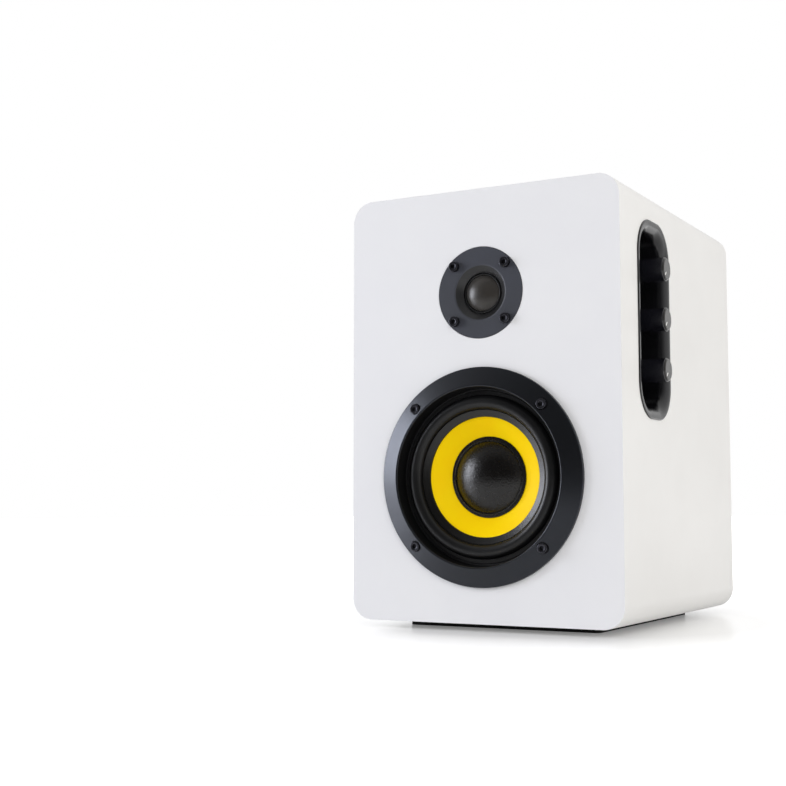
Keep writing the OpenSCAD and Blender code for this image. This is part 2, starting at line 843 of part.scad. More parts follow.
// Two main capacitors in the board's upper corner and three small ones in a row under them
module capacitors() {
    board_back = amp_inner_z - board_t;
    color("#2B2F45") at_amp() {
        for (k = [0, 1]) translate([
            -amp_board_w / 2 + (1.6 + 2.4 * k) * main_cap_r, sink_at[1] + sink_l + 2 * main_cap_r,
            board_back - main_cap_h
        ]) cylinder(r = main_cap_r, h = main_cap_h);
        for (k = [0 : 2]) translate([
            -amp_board_w / 2 + (2.4 + 3.2 * k) * small_cap_r, sink_at[1] + sink_l / 2,
            board_back - small_cap_h
        ]) cylinder(r = small_cap_r, h = small_cap_h);
    }
}

// The laminated core, with the bobbin's window through it from front to back
core_at = [-18, 10];
core_w = 57;
core_l = 30;
core_h = 48;
core_leg = 9.5;

module transformer_core() {
    color("#55575C") translate([core_at[0], core_at[1], inner_z]) difference() {
        translate([-core_w / 2, -core_l / 2, 0]) cube([core_w, core_l, core_h]);
        for (side = [-1, 1]) translate([side * core_leg * 1.5 - core_leg / 2, -core_l / 2 - 1, core_leg])
            cube([core_leg, core_l + 2, core_h - 2 * core_leg]);
    }
}

module transformer_winding() {
    spill = 8;
    color("#D8B23A") translate([core_at[0], core_at[1], inner_z + core_leg]) difference() {
        translate([-2 * core_leg, -core_l / 2 - spill, 0])
            cube([4 * core_leg, core_l + 2 * spill, core_h - 2 * core_leg]);
        translate([-core_leg, -core_l / 2, -1]) cube([2 * core_leg, core_l, core_h]);
    }
}

module mains_inlet() {
    pin_pitch = 8.6;
    pin_r = 1.2;
    socket_r = 4.4;
    socket_depth = 12;
    pin_l = 9;
    color("#17171A") at_amp() translate(inlet_at) {
        difference() {
            union() {
                translate([0, 0, amp_t]) round_slab(inlet_w + 5, inlet_l + 5, 3, flange_out);
                translate([-inlet_w / 2, -inlet_l / 2, -inlet_depth])
                    cube([inlet_w, inlet_l, inlet_depth + amp_t + eps]);
            }
            translate([0, 0, amp_t + flange_out - socket_depth]) linear_extrude(height = socket_depth + 1) {
                for (side = [-1, 1]) translate([side * pin_pitch / 2, 0]) circle(r = socket_r);
                square([pin_pitch, 2 * socket_r - 1.6], center = true);
            }
        }
        for (side = [-1, 1]) translate([side * pin_pitch / 2, 0, amp_t + flange_out - socket_depth - eps])
            cylinder(r = pin_r, h = pin_l);
    }
}

module power_switch_body() {
    frame_w = switch_w + 3;
    frame_l = switch_l + 3;
    pocket_depth = rocker_r + panel_gap;
    color("#17171A") at_amp() translate(switch_at) {
        difference() {
            union() {
                translate([0, 0, amp_t]) round_slab(frame_w, frame_l, 2, flange_out);
                translate([-switch_w / 2, -switch_l / 2, -switch_depth])
                    cube([switch_w, switch_l, switch_depth + amp_t + eps]);
            }
            translate([-rocker_w / 2 - panel_gap, -pocket_depth, amp_t - pocket_depth])
                cube([rocker_w + 2 * panel_gap, 2 * pocket_depth, pocket_depth + flange_out + 1]);
        }
        translate([-rocker_w / 2 - panel_gap - eps, 0, amp_t]) rotate([0, 90, 0])
            cylinder(r = lever_pin_r, h = rocker_w + 2 * panel_gap + 2 * eps);
    }
}

module power_rocker() {
    color("#0F0F11") at_amp() translate([switch_at[0], switch_at[1], amp_t]) rotate([rocker_tilt, 0, 0])
        rotate([90, 0, 90]) translate([0, 0, -rocker_w / 2]) difference() {
            linear_extrude(height = rocker_w) difference() {
                intersection() {
                    circle(r = rocker_r);
                    polygon([[-6, 4.2], [0, 2.4], [6, 4.2], [6, -6], [-6, -6]]);
                }
                circle(r = lever_pin_r + running_gap);
            }
        }
}

module rca_jacks() {
    barrel_l = 8;
    socket_r = 1.65;
    color("#2A2A2C") at_amp() translate(rca_at) difference() {
        union() {
            translate([-rca_w / 2, -rca_l / 2, amp_inner_z]) cube([rca_w, rca_l, amp_t - amp_inner_z + eps]);
            translate([0, 0, amp_t]) round_slab(rca_w + 3, rca_l + 3, 1.5, 1.5);
            for (side = [-1, 1]) translate([0, side * rca_pitch / 2, 0])
                hole(rca_r, amp_t, amp_t + 1.5 + barrel_l);
        }
        for (side = [-1, 1]) translate([0, side * rca_pitch / 2, amp_t + 1.5])
            cylinder(r = socket_r, h = barrel_l + 1);
    }
}

module speaker_terminal_block() {
    slot_w = lever_w + 2 * panel_gap;
    wire_r = 1.7;
    color("#202023") at_amp() translate(block_at) {
        difference() {
            union() {
                translate([0, 0, amp_t]) round_slab(block_w, block_l, 2, block_h);
                translate([-block_w / 2 + 2 + panel_gap, -block_l / 2 + 2 + panel_gap, amp_inner_z])
                    cube([
                        block_w - 4 - 2 * panel_gap, block_l - 4 - 2 * panel_gap, amp_t - amp_inner_z + eps
                    ]);
            }
            for (side = [-1, 1]) translate([side * lever_pitch / 2, 0, 0]) {
                translate([-slot_w / 2, -7.5, amp_t + 1.5]) cube([slot_w, 18, block_h]);
                translate([0, -10.2, amp_t]) cylinder(r = wire_r, h = block_h + 1);
            }
        }
        for (side = [-1, 1]) translate([side * lever_pitch / 2 - slot_w / 2 - eps, lever_up, lever_z])
            rotate([0, 90, 0]) cylinder(r = lever_pin_r, h = slot_w + 2 * eps);
    }
}

// A push lever of the wire clamp, on its pin
module terminal_lever(side) {
    at_amp() translate([block_at[0] + side * lever_pitch / 2, block_at[1] + lever_up, lever_z])
        rotate([90, 0, 90]) translate([0, 0, -lever_w / 2]) linear_extrude(height = lever_w) difference() {
            union() {
                circle(r = 2.6);
                polygon([
                    [0, -1.2], [0, 2.6], [-10.5, 5.8], [-12.3, 5.2], [-12.3, 3], [-10, 2.4], [-3, -1.2]
                ]);
            }
            circle(r = lever_pin_r + running_gap);
        }
}

module terminal_lever_red() { color("#B3201F") terminal_lever(-1); }
module terminal_lever_black() { color("#1A1A1A") terminal_lever(1); }

module port_tube() {
    lip_out = 3;
    lip_t = 2;
    color("#202022") at_port() rotate_extrude($fn = 96) {
        translate([port_r, -port_len]) square([port_wall, port_len - rear_t + eps]);
        translate([port_r, -rear_t]) square([port_flare, rear_t + lip_t - port_flare + eps]);
        intersection() {
            translate([port_r + port_flare, lip_t - port_flare]) circle(r = port_flare);
            translate([port_r, lip_t - port_flare]) square([port_flare, port_flare]);
        }
        translate([port_r + port_flare - eps, 0]) square([lip_out, lip_t]);
    }
}

// ---- Inner leads ----

function unit(v) = v / norm(v);
function heading(route, k) = unit(route[min(k + 1, len(route) - 1)] - route[max(k - 1, 0)]);
function around(route, k, r, sides) =
    let (ahead = heading(route, k), across = unit(cross(ahead, [0, 0, 1])), up = cross(across, ahead))
    [for (j = [0 : sides - 1]) route[k] + r * (cos(360 * j / sides) * across + sin(360 * j / sides) * up)];

// Points on a smooth curve through the corner points of a route
function bent(p, k, t) = let (
    a = p[max(k - 1, 0)], b = p[k], c = p[k + 1], d = p[min(k + 2, len(p) - 1)]
) 0.5 * (2 * b + (c - a) * t + (2 * a - 5 * b + 4 * c - d) * t * t + (3 * b - a - 3 * c + d) * t * t * t);
function smooth(p) = concat(
    [for (k = [0 : len(p) - 2], j = [0 : lead_steps - 1]) bent(p, k, j / lead_steps)], [p[len(p) - 1]]
);

lead_r = 1.1;
lead_sides = 8;
lead_steps = 5;
lead_pair = 2.6;

// A round lead along a route, as one closed skin. Its first and last legs are straight.
module lead(corners) {
    last = len(corners) - 1;
    route = concat([corners[0]], smooth([for (k = [1 : last - 1]) corners[k]]), [corners[last]]);
    n = len(route);
    sides = lead_sides;
    polyhedron(
        points = [for (k = [0 : n - 1]) each around(route, k, lead_r, sides)],
        faces = concat(
            [[for (j = [0 : sides - 1]) j]], [[for (j = [sides - 1 : -1 : 0]) (n - 1) * sides + j]],
            [for (k = [0 : n - 2], j = [0 : sides - 1]) let(next = (j + 1) % sides)
                [k * sides + j, (k + 1) * sides + j, (k + 1) * sides + next, k * sides + next]]
        )
    );
}

solder_gap = 0.15;
lead_start_y = rear_y + amp_inner_z - board_t - solder_gap;
tag_y = front_y - tag_z + solder_gap;
film_cap_y = front_y - tweeter_yoke_z + tweeter_yoke_t + cap_body_r;
film_cap_x = -cap_body_l / 2 - solder_gap;

// The two leads end at the two tags of the woofer's terminal strip
module woofer_leads() {
    function tag(side) = [
        tag_r * cos(tag_turn) - side * tag_pitch / 2 * sin(tag_turn), 0,
        woofer_z + tag_r * sin(tag_turn) + side * tag_pitch / 2 * cos(tag_turn)
    ];
    color("#8C1D1D") for (side = [-1, 1]) lead([
        [36 + 3 * side, lead_start_y, amp_z - 6], [36 + 3 * side, lead_start_y - 6, amp_z - 6],
        [48 + 3 * side, 30, woofer_z - 26], [44 + 3 * side, front_y + 50, woofer_z - 32],
        tag(side) + [0, tag_y + 7, 0], tag(side) + [0, tag_y, 0]
    ]);
}

// The two leads end at the film capacitor on the tweeter's back
module tweeter_leads() {
    color("#2A2A2A") for (side = [-1, 1]) translate([0, 0, side * lead_pair / 2]) lead([
        [4, lead_start_y, amp_z + 46], [4, lead_start_y - 6, amp_z + 46],
        [-42, 0, tweeter_z - 30], [-40, -50, tweeter_z - 4],
        [film_cap_x - 7, film_cap_y, tweeter_z], [film_cap_x, film_cap_y, tweeter_z]
    ]);
}

cabinet_wrap();
front_baffle();
rear_panel();
rear_panel_screws();
corner_battens();
damping_pad();
base_pad();
woofer_trim_ring();
woofer_basket();
woofer_gasket();
woofer_surround();
woofer_cone();
woofer_dust_cap();
woofer_coil_former();
woofer_voice_coil();
woofer_spider();
woofer_top_plate();
woofer_magnet();
woofer_back_plate();
woofer_terminals();
woofer_screws();
tweeter_faceplate();
tweeter_dome();
tweeter_surround();
tweeter_voice_coil();
tweeter_top_plate();
tweeter_magnet();
tweeter_back_plate();
tweeter_screws();
tweeter_capacitor();
control_bezel();
volume_knob();
treble_knob();
bass_knob();
volume_knob_cap();
treble_knob_cap();
bass_knob_cap();
volume_shaft();
treble_shaft();
bass_shaft();
potentiometers();
control_board();
amp_plate();
amp_plate_screws();
amp_board();
heatsink();
transformer_core();
transformer_winding();
capacitors();
mains_inlet();
power_switch_body();
power_rocker();
rca_jacks();
speaker_terminal_block();
terminal_lever_red();
terminal_lever_black();
port_tube();
woofer_leads();
tweeter_leads();
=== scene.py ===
"""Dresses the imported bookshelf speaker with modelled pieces, finishes, light and a camera."""

import logging
import math
from dataclasses import dataclass
from enum import Enum
from typing import Callable, Iterable, Sequence

import bmesh
import bpy
from mathutils import Matrix, Vector


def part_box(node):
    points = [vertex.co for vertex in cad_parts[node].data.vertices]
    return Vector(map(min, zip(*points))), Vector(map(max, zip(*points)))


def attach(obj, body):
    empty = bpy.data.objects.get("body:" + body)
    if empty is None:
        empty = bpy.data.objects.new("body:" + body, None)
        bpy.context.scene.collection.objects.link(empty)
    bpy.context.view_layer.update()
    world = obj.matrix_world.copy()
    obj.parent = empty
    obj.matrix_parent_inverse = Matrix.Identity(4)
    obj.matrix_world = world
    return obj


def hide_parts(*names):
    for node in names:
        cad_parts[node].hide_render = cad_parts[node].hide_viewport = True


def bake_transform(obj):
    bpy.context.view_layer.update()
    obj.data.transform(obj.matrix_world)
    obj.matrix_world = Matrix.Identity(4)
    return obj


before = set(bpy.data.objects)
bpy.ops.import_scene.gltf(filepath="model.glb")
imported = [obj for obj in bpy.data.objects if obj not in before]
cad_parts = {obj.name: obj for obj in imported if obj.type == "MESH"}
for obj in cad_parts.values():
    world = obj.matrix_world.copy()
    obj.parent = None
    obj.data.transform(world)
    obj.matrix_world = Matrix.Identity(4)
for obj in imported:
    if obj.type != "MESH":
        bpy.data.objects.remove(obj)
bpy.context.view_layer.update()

LOG = logging.getLogger("speaker")
MM = 0.001
FULL_TURN = 2.0 * math.pi
SMOOTH_ANGLE = math.radians(32.0)
CARVED_SMOOTH_ANGLE = math.radians(24.0)
QUARTER = math.pi / 2.0
WAVES_PER_SCALE = 20.0

Point = tuple[float, float]
Corner = tuple[float, float, float]  # a corner's place and its radius
Plate = tuple[float, float, float]  # width, height and the radius of the corners
BMesh = bmesh.types.BMesh


# ---- Colours and nodes ----


def linear(hex_colour: str) -> tuple[float, float, float, float]:
    """Turns an sRGB hex colour to linear.

    Args:
        hex_colour: "#RRGGBB".

    Returns:
        Linear red, green and blue, and an alpha of 1.
    """
    channels = [int(hex_colour[k : k + 2], 16) / 255.0 for k in (1, 3, 5)]
    red, green, blue = (
        c / 12.92 if c <= 0.04045 else ((c + 0.055) / 1.055) ** 2.4 for c in channels
    )
    return red, green, blue, 1.0


def add_node(
    tree: bpy.types.NodeTree,
    kind: str,
    settings: dict[str | int, object] | None = None,
    links: dict[str | int, bpy.types.NodeSocket] | None = None,
) -> bpy.types.Node:
    """Adds a node with its settings and links.

    Args:
        tree: the node tree.
        kind: the node's type.
        settings: input names, input numbers or node properties, with their values.
        links: input names or numbers, with the sockets that feed them.

    Returns:
        The new node.
    """
    node = tree.nodes.new(kind)
    for key, value in (settings or {}).items():
        if isinstance(key, int) or key in node.inputs:
            node.inputs[key].default_value = value
        else:
            setattr(node, key, value)
    for key, socket in (links or {}).items():
        tree.links.new(socket, node.inputs[key])
    return node


# ---- Finishes ----


class Relief(Enum):
    """The form of a surface's fine relief."""

    FINE = "noise"
    PEBBLED = "rounded cells"
    BRUSHED = "lines along one direction"
    WOVEN = "crossing threads"


@dataclass(frozen=True)
class Finish:
    """A surface finish as a procedural material.

    Its colour drifts to shade, and its roughness by gloss_change, over patches of the size mottle.
    The relief has the spacing grain and the height relief_depth; stretch draws it out along the
    object's three axes. Sizes are in millimetres.
    """

    name: str
    colour: str
    shade: str
    roughness: float
    gloss_change: float = 0.05
    relief: Relief = Relief.FINE
    grain: float = 0.6
    relief_depth: float = 0.02
    mottle: float = 30.0
    stretch: tuple[float, float, float] = (1.0, 1.0, 1.0)
    metallic: float = 0.0
    ior: float = 1.5
    specular: float = 0.5
    tint: str = "#FFFFFF"
    sheen: float = 0.0

    def material(self) -> bpy.types.Material:
        """Returns this finish's material, made on its first use."""
        return bpy.data.materials.get(self.name) or self._make()

    def _make(self) -> bpy.types.Material:
        """Builds the node tree.

        Returns:
            The new material.
        """
        made = bpy.data.materials.new(self.name)
        made.use_nodes = True
        tree = made.node_tree
        tree.nodes.clear()
        place = add_node(tree, "ShaderNodeTexCoord").outputs["Object"]
        slow = add_node(
            tree, "ShaderNodeTexNoise",
            {"Scale": 1.0 / (self.mottle * MM), "Detail": 3.0, "Roughness": 0.55},
            {"Vector": place},
        ).outputs["Fac"]
        drift = add_node(
            tree, "ShaderNodeMapRange", {"From Min": 0.3, "From Max": 0.7}, {"Value": slow}
        ).outputs["Result"]
        colour = add_node(
            tree, "ShaderNodeMix",
            {"data_type": "RGBA", 6: linear(self.colour), 7: linear(self.shade)}, {0: drift},
        ).outputs[2]
        gloss = add_node(
            tree, "ShaderNodeMapRange",
            {
                "To Min": max(self.roughness - self.gloss_change, 0.02),
                "To Max": min(self.roughness + self.gloss_change, 1.0),
            },
            {"Value": slow},
        ).outputs["Result"]
        normal = add_node(
            tree, "ShaderNodeBump", {"Strength": 1.0, "Distance": self.relief_depth * MM},
            {"Height": self._height(tree, place)},
        ).outputs["Normal"]
        shader = add_node(
            tree, "ShaderNodeBsdfPrincipled",
            {
                "Metallic": self.metallic,
                "IOR": self.ior,
                "Specular IOR Level": self.specular,
                "Specular Tint": linear(self.tint),
                "Sheen Weight": self.sheen,
            },
            {"Base Color": colour, "Roughness": gloss, "Normal": normal},
        )
        add_node(tree, "ShaderNodeOutputMaterial", None, {"Surface": shader.outputs["BSDF"]})
        return made

    def _height(
        self, tree: bpy.types.NodeTree, place: bpy.types.NodeSocket
    ) -> bpy.types.NodeSocket:
        """Adds the relief's nodes.

        Args:
            tree: the material's tree.
            place: the Object coordinates.

        Returns:
            The height, from 0 to 1.
        """
        per_metre = 1.0 / (self.grain * MM)
        drawn = add_node(
            tree, "ShaderNodeMapping", {"Scale": self.stretch}, {"Vector": place}
        ).outputs["Vector"]
        if self.relief is Relief.PEBBLED:
            return add_node(
                tree, "ShaderNodeTexVoronoi",
                {"Scale": per_metre, "feature": "SMOOTH_F1", "Smoothness": 0.6},
                {"Vector": drawn},
            ).outputs["Distance"]
        if self.relief is Relief.WOVEN:
            wave = {"Scale": per_metre / WAVES_PER_SCALE, "Distortion": 0.4, "Detail": 1.0}
            threads = [
                add_node(
                    tree, "ShaderNodeTexWave", wave | {"bands_direction": direction},
                    {"Vector": drawn},
                ).outputs["Fac"]
                for direction in ("X", "Z")
            ]
            return add_node(
                tree, "ShaderNodeMath", {"operation": "MAXIMUM"}, {0: threads[0], 1: threads[1]}
            ).outputs["Value"]
        detail = 1.0 if self.relief is Relief.BRUSHED else 3.0
        return add_node(
            tree, "ShaderNodeTexNoise", {"Scale": per_metre, "Detail": detail},
            {"Vector": drawn},
        ).outputs["Fac"]


WHITE_VINYL = Finish(
    # Embossed vinyl film on fibreboard: satin white with a faint pebble
    "embossed_white_vinyl", "#ECEBE9", "#E8E7E5", 0.42, relief=Relief.PEBBLED, grain=0.5,
    relief_depth=0.006, mottle=60.0,
)
WHITE_LACQUER = Finish(
    # Sprayed lacquer on the baffle: a smoother white with a little orange peel; it is set a shade
    # darker and cooler than the sides' vinyl as painted shade for the front's dimmer, cooler light
    "sprayed_white_lacquer", "#E6E6E8", "#E3E3E6", 0.38, grain=0.9, relief_depth=0.006,
    mottle=50.0,
)
LACQUER_EDGE = Finish(
    # The baffle's rounded edge: a white a shade darker than the faces on either side
    "darker_baffle_edge", "#DEDEDD", "#D9D9D8", 0.45, grain=0.5, relief_depth=0.004,
)
BASE_FOAM = Finish(
    # Dense cellular rubber: matt black and finely pitted
    "cellular_rubber", "#161616", "#1F1E1D", 0.9, relief=Relief.PEBBLED, grain=0.7,
    relief_depth=0.08, specular=0.3,
)
RING_ABS = Finish(
    # Moulded ABS with a fine satin texture: broad soft highlights with a blue bloom
    "satin_moulded_abs", "#0D0E10", "#09090B", 0.32, grain=0.35, relief_depth=0.012,
    mottle=25.0, specular=0.55, tint="#EAF0FF",
)
WELL_PAINTED_SHADE = Finish(
    # The ring's unlit inner wall: the ring's ABS painted darker and duller than its face, as
    # painted shade in the well, and smooth
    "well_abs_painted_shade", "#060606", "#09090A", 0.6, grain=0.5, relief_depth=0.01, specular=0.25,
)
PLATE_ABS = Finish(
    # The tweeter's plate: the same ABS, spark-eroded to a flatter grey-black
    "spark_eroded_abs", "#383A43", "#34363D", 0.5, relief=Relief.PEBBLED, grain=0.4,
    relief_depth=0.02, mottle=18.0,
)
MOUTH_PAINTED_SHADE = Finish(
    # The plate's flared mouth, left smoother by the mould, with a clearer highlight; painted
    # darker than the plate, as shade in the recess
    "mouth_abs_painted_shade", "#0C0C0E", "#09090B", 0.34, grain=0.4, relief_depth=0.01, mottle=18.0,
    specular=0.6,
)
OXIDE_STEEL = Finish(
    # Black oxide on steel: dark and slightly oily
    "black_oxide_steel", "#4A4A50", "#36363B", 0.3, metallic=0.9, grain=0.3,
    relief_depth=0.01, mottle=3.0,
)
POWDER_COAT = Finish(
    # Powder-coated steel: black with a fine orange peel
    "black_powder_coat", "#111113", "#18181A", 0.55, grain=0.6, relief_depth=0.03,
)
BUTYL_RUBBER = Finish(
    # Moulded butyl rubber: dark grey, with a soft bloom that catches light at the crest
    "butyl_rubber", "#0A0A0B", "#0E0E0F", 0.36, grain=0.4, relief_depth=0.012,
    mottle=12.0, specular=0.4,
)
BUTYL_FLAP = Finish(
    # The surround's glued flap: the same rubber with the coating's warmer tone
    "coated_butyl_flap", "#080706", "#0B0A09", 0.32, grain=0.8, relief_depth=0.08, mottle=8.0,
)
YELLOW_CONE = Finish(
    # Pressed fibre cone under a satin yellow lacquer
    "lacquered_yellow_fibre", "#FFDA00", "#FFD300", 0.45, grain=0.7, relief_depth=0.015,
    mottle=14.0, specular=0.08,
)
DUST_CAP = Finish(
    # Doped cloth cap: near-black, with a mottled semi-matt highlight
    "doped_black_cloth", "#050302", "#070504", 0.27, grain=1.0, relief_depth=0.14,
    mottle=4.0,
)
COATED_SILK = Finish(
    # Coated silk: brown-grey, with a fine weave under the coating
    "coated_silk", "#302C28", "#282522", 0.35, relief=Relief.WOVEN, grain=0.45,
    relief_depth=0.01, mottle=6.0, sheen=0.15,
)
GLOSS_ABS = Finish(
    # High-gloss moulded ABS: black with clear reflections
    "gloss_moulded_abs", "#0E0E11", "#131316", 0.22, gloss_change=0.03, grain=6.0,
    relief_depth=0.004, mottle=40.0,
)
GLOSS_KNOB = Finish(
    # Glossy moulded knob: black, a little scuffed
    "gloss_black_knob", "#131319", "#19191E", 0.18, gloss_change=0.04, grain=3.0,
    relief_depth=0.003, mottle=10.0, specular=0.8,
)
GLOSS_CAP = Finish(
    # The knobs' end caps: polished charcoal
    "polished_charcoal_abs", "#2E2D2C", "#242322", 0.16, grain=1.2, relief_depth=0.006,
    mottle=3.0,
)
POINTER_WHITE = Finish(
    # The pointers' white print
    "white_pointer_print", "#E9E9E6", "#DEDEDA", 0.5, grain=0.3, relief_depth=0.005,
)
ANODISED = Finish(
    # Brushed and black-anodised aluminium: fine upright lines
    "black_anodised_aluminium", "#1C1D1F", "#232427", 0.38, relief=Relief.BRUSHED,
    grain=0.25, relief_depth=0.006, stretch=(1.0, 1.0, 0.02), metallic=0.6, mottle=20.0,
)
MARK_PRINT = Finish(
    # Screen-printed marks
    "white_screen_print", "#D9D9D6", "#CFCFCC", 0.55, grain=0.3, relief_depth=0.004,
)
BLACK_MOULDING = Finish(
    # Glass-filled nylon mouldings: black, finely textured
    "textured_black_nylon", "#141416", "#1B1B1D", 0.5, relief=Relief.PEBBLED, grain=0.35,
    relief_depth=0.02, mottle=10.0,
)
NICKEL = Finish(
    # Bright nickel plate
    "bright_nickel", "#C9C6BF", "#B9B6AF", 0.2, metallic=1.0, grain=0.5,
    relief_depth=0.003, mottle=2.0,
)
COLLAR_RED = Finish(
    # Red collar of the right line socket
    "red_collar_moulding", "#A81E1C", "#981A19", 0.4, grain=0.4, relief_depth=0.005,
)
COLLAR_WHITE = Finish(
    # White collar of the left line socket
    "white_collar_moulding", "#DCDCD8", "#D0D0CC", 0.4, grain=0.4, relief_depth=0.005,
)
LEVER_RED = Finish(
    # Moulded red lever
    "red_lever_moulding", "#B3201F", "#A01B1B", 0.32, grain=0.6, relief_depth=0.006,
)
PORT_MOULDING = Finish(
    # The port's moulding: satin black with a fine texture
    "satin_black_port", "#141415", "#1B1B1C", 0.42, relief=Relief.PEBBLED, grain=0.4,
    relief_depth=0.015, mottle=20.0,
)


# ---- Outlines, in millimetres ----


def arc(centre: Point, radius: float, start: float, end: float, steps: int) -> list[Point]:
    """Points along an arc.

    Args:
        centre: the arc's centre.
        radius: its radius.
        start: its first angle, in degrees.
        end: its last angle, in degrees.
        steps: how many chords it has.

    Returns:
        The points, both ends included.
    """
    angles = [math.radians(start + (end - start) * k / steps) for k in range(steps + 1)]
    return [(centre[0] + radius * math.cos(a), centre[1] + radius * math.sin(a)) for a in angles]


def rounded(corners: Sequence[Corner], steps: int = 5) -> list[Point]:
    """Rounds the corners of an open outline.

    Args:
        corners: each corner's place and its radius. The first and last stay sharp.
        steps: chords in each rounding.

    Returns:
        The outline's points.
    """
    points: list[Point] = [corners[0][:2]]
    for before, here, after in zip(corners, corners[1:], corners[2:]):
        apex = Vector(here[:2])
        back = (Vector(before[:2]) - apex).normalized()
        ahead = (Vector(after[:2]) - apex).normalized()
        half = back.angle(ahead) / 2.0
        if here[2] <= 0.0 or half > math.radians(89.0):
            points.append(tuple(apex))
            continue
        reach = here[2] / math.tan(half)
        first, last = apex + back * reach, apex + ahead * reach
        centre = apex + (back + ahead).normalized() * (here[2] / math.sin(half))
        turn = (first - centre).angle_signed(last - centre)
        spoke = first - centre
        for k in range(steps + 1):
            turned_spoke = Matrix.Rotation(-turn * k / steps, 2) @ spoke
            points.append(tuple(centre + turned_spoke))
    points.append(corners[-1][:2])
    return points


def dome_arc(radius: float, height: float, base: float) -> list[Point]:
    """The outline of a shallow spherical dome, from its crown to its rim.

    Args:
        radius: of its rim.
        height: of its crown over its rim.
        base: the rim's height.

    Returns:
        The outline's points.
    """
    ball_r = (radius**2 + height**2) / (2 * height)
    reach = math.degrees(math.asin(radius / ball_r))
    return arc((0.0, base + height - ball_r), ball_r, 90, 90 - reach, 24)


# ---- Shapes, in a sub-assembly's own millimetres; local z points out of the cabinet ----


def turned(profile: Sequence[Point], steps: int = 128, closed: bool = False) -> BMesh:
    """Turns a profile once round the local z axis.

    Args:
        profile: radius and height of each point.
        steps: how many flats the turn has.
        closed: joins the last point to the first.

    Returns:
        The turned skin.
    """
    shape = bmesh.new()
    verts = [shape.verts.new((r, 0.0, z)) for r, z in profile]
    pairs = list(zip(verts, verts[1:])) + ([(verts[-1], verts[0])] if closed else [])
    edges = [shape.edges.new(pair) for pair in pairs]
    bmesh.ops.spin(
        shape, geom=verts + edges, cent=(0, 0, 0), axis=(0, 0, 1), angle=FULL_TURN,
        steps=steps, use_merge=True,
    )
    bmesh.ops.remove_doubles(shape, verts=shape.verts, dist=1e-4)
    bmesh.ops.recalc_face_normals(shape, faces=shape.faces)
    return shape


def add_outline(
    shape: BMesh, width: float, height: float, radius: float, steps: int = 12
) -> list[bmesh.types.BMEdge]:
    """Adds the outline of a rounded rectangle to a mesh, on z = 0.

    Args:
        shape: the mesh to add to.
        width: along local x.
        height: along local y.
        radius: of the corners, 0 for square ones.
        steps: chords in each corner.

    Returns:
        The outline's edges.
    """
    old = set(shape.edges)
    face = bmesh.ops.create_grid(
        shape, x_segments=1, y_segments=1, size=0.5,
        matrix=Matrix.Diagonal((width, height, 1, 1)),
    )["verts"]
    if radius > 0.0:
        bmesh.ops.bevel(
            shape, geom=face, offset=radius, offset_type="OFFSET", segments=steps, profile=0.5,
            affect="VERTICES", material=-1, clamp_overlap=True,
        )
    made = [e for e in shape.edges if e not in old]
    faces = list({f for e in made for f in e.link_faces})
    bmesh.ops.delete(shape, geom=faces, context="FACES_ONLY")
    return made


def add_circle(
    shape: BMesh, centre: Point, radius: float, z: float = 0.0, steps: int = 64
) -> list[bmesh.types.BMEdge]:
    """Adds a circle's outline, or a polygon's, to a mesh.

    Args:
        shape: the mesh to add to.
        centre: the circle's centre.
        radius: its radius.
        z: its height.
        steps: how many edges it has.

    Returns:
        The outline's edges.
    """
    verts = bmesh.ops.create_circle(
        shape, cap_ends=False, segments=steps, radius=radius,
        matrix=Matrix.Translation((*centre, z)),
    )["verts"]
    return list({e for v in verts for e in v.link_edges})


def fill_flat(shape: BMesh, edges: Iterable[bmesh.types.BMEdge]) -> list[bmesh.types.BMFace]:
    """Fills the area between flat outlines, and returns the new faces."""
    made = bmesh.ops.triangle_fill(shape, use_beauty=True, use_dissolve=False, edges=list(edges))
    return [g for g in made["geom"] if isinstance(g, bmesh.types.BMFace)]


def thicken(shape: BMesh, height: float) -> None:
    """Extrudes a flat plate into a solid.

    Args:
        shape: a mesh that is one flat plate.
        height: how far it is extruded along local z.
    """
    made = bmesh.ops.extrude_face_region(shape, geom=list(shape.faces), use_keep_orig=True)
    verts = [g for g in made["geom"] if isinstance(g, bmesh.types.BMVert)]
    bmesh.ops.translate(shape, verts=verts, vec=(0, 0, height))
    bmesh.ops.recalc_face_normals(shape, faces=shape.faces)


def soften(
    shape: BMesh, radius: float, chosen: Callable[[bmesh.types.BMEdge], bool], steps: int = 3
) -> None:
    """Bevels the sharp edges that a test chooses.

    Args:
        shape: the solid.
        radius: of the rounding.
        chosen: the test for an edge.
        steps: chords in the rounding.
    """
    sharp = math.radians(40.0)
    edges = [
        e for e in shape.edges
        if len(e.link_faces) == 2 and e.calc_face_angle(0.0) > sharp and chosen(e)
    ]
    bmesh.ops.bevel(
        shape, geom=edges, offset=radius, offset_type="OFFSET", segments=steps, profile=0.5,
        affect="EDGES", material=-1, clamp_overlap=True,
    )


def at_height(z: float) -> Callable[[bmesh.types.BMEdge], bool]:
    """Returns the test for edges that lie flat at one height."""
    return lambda edge: all(abs(v.co.z - z) < 1e-3 for v in edge.verts)


def any_edge(edge: bmesh.types.BMEdge) -> bool:
    """The test that chooses every edge."""
    return edge.is_valid


def slab(
    width: float, height: float, corner: float, thickness: float, edge: float = 0.0,
    all_round: bool = False, steps: int = 8,
) -> BMesh:
    """A rounded plate that stands on z = 0, with softened upper edges.

    Args:
        width: along local x.
        height: along local y.
        corner: radius of its corners.
        thickness: along local z.
        edge: radius of its edge rounding.
        all_round: softens the lower and upright edges too.
        steps: chords in each corner.

    Returns:
        The plate.
    """
    shape = bmesh.new()
    add_outline(shape, width, height, corner, steps=steps)
    fill_flat(shape, shape.edges)
    thicken(shape, thickness)
    if edge > 0.0:
        soften(shape, edge, any_edge if all_round else at_height(thickness))
    return shape


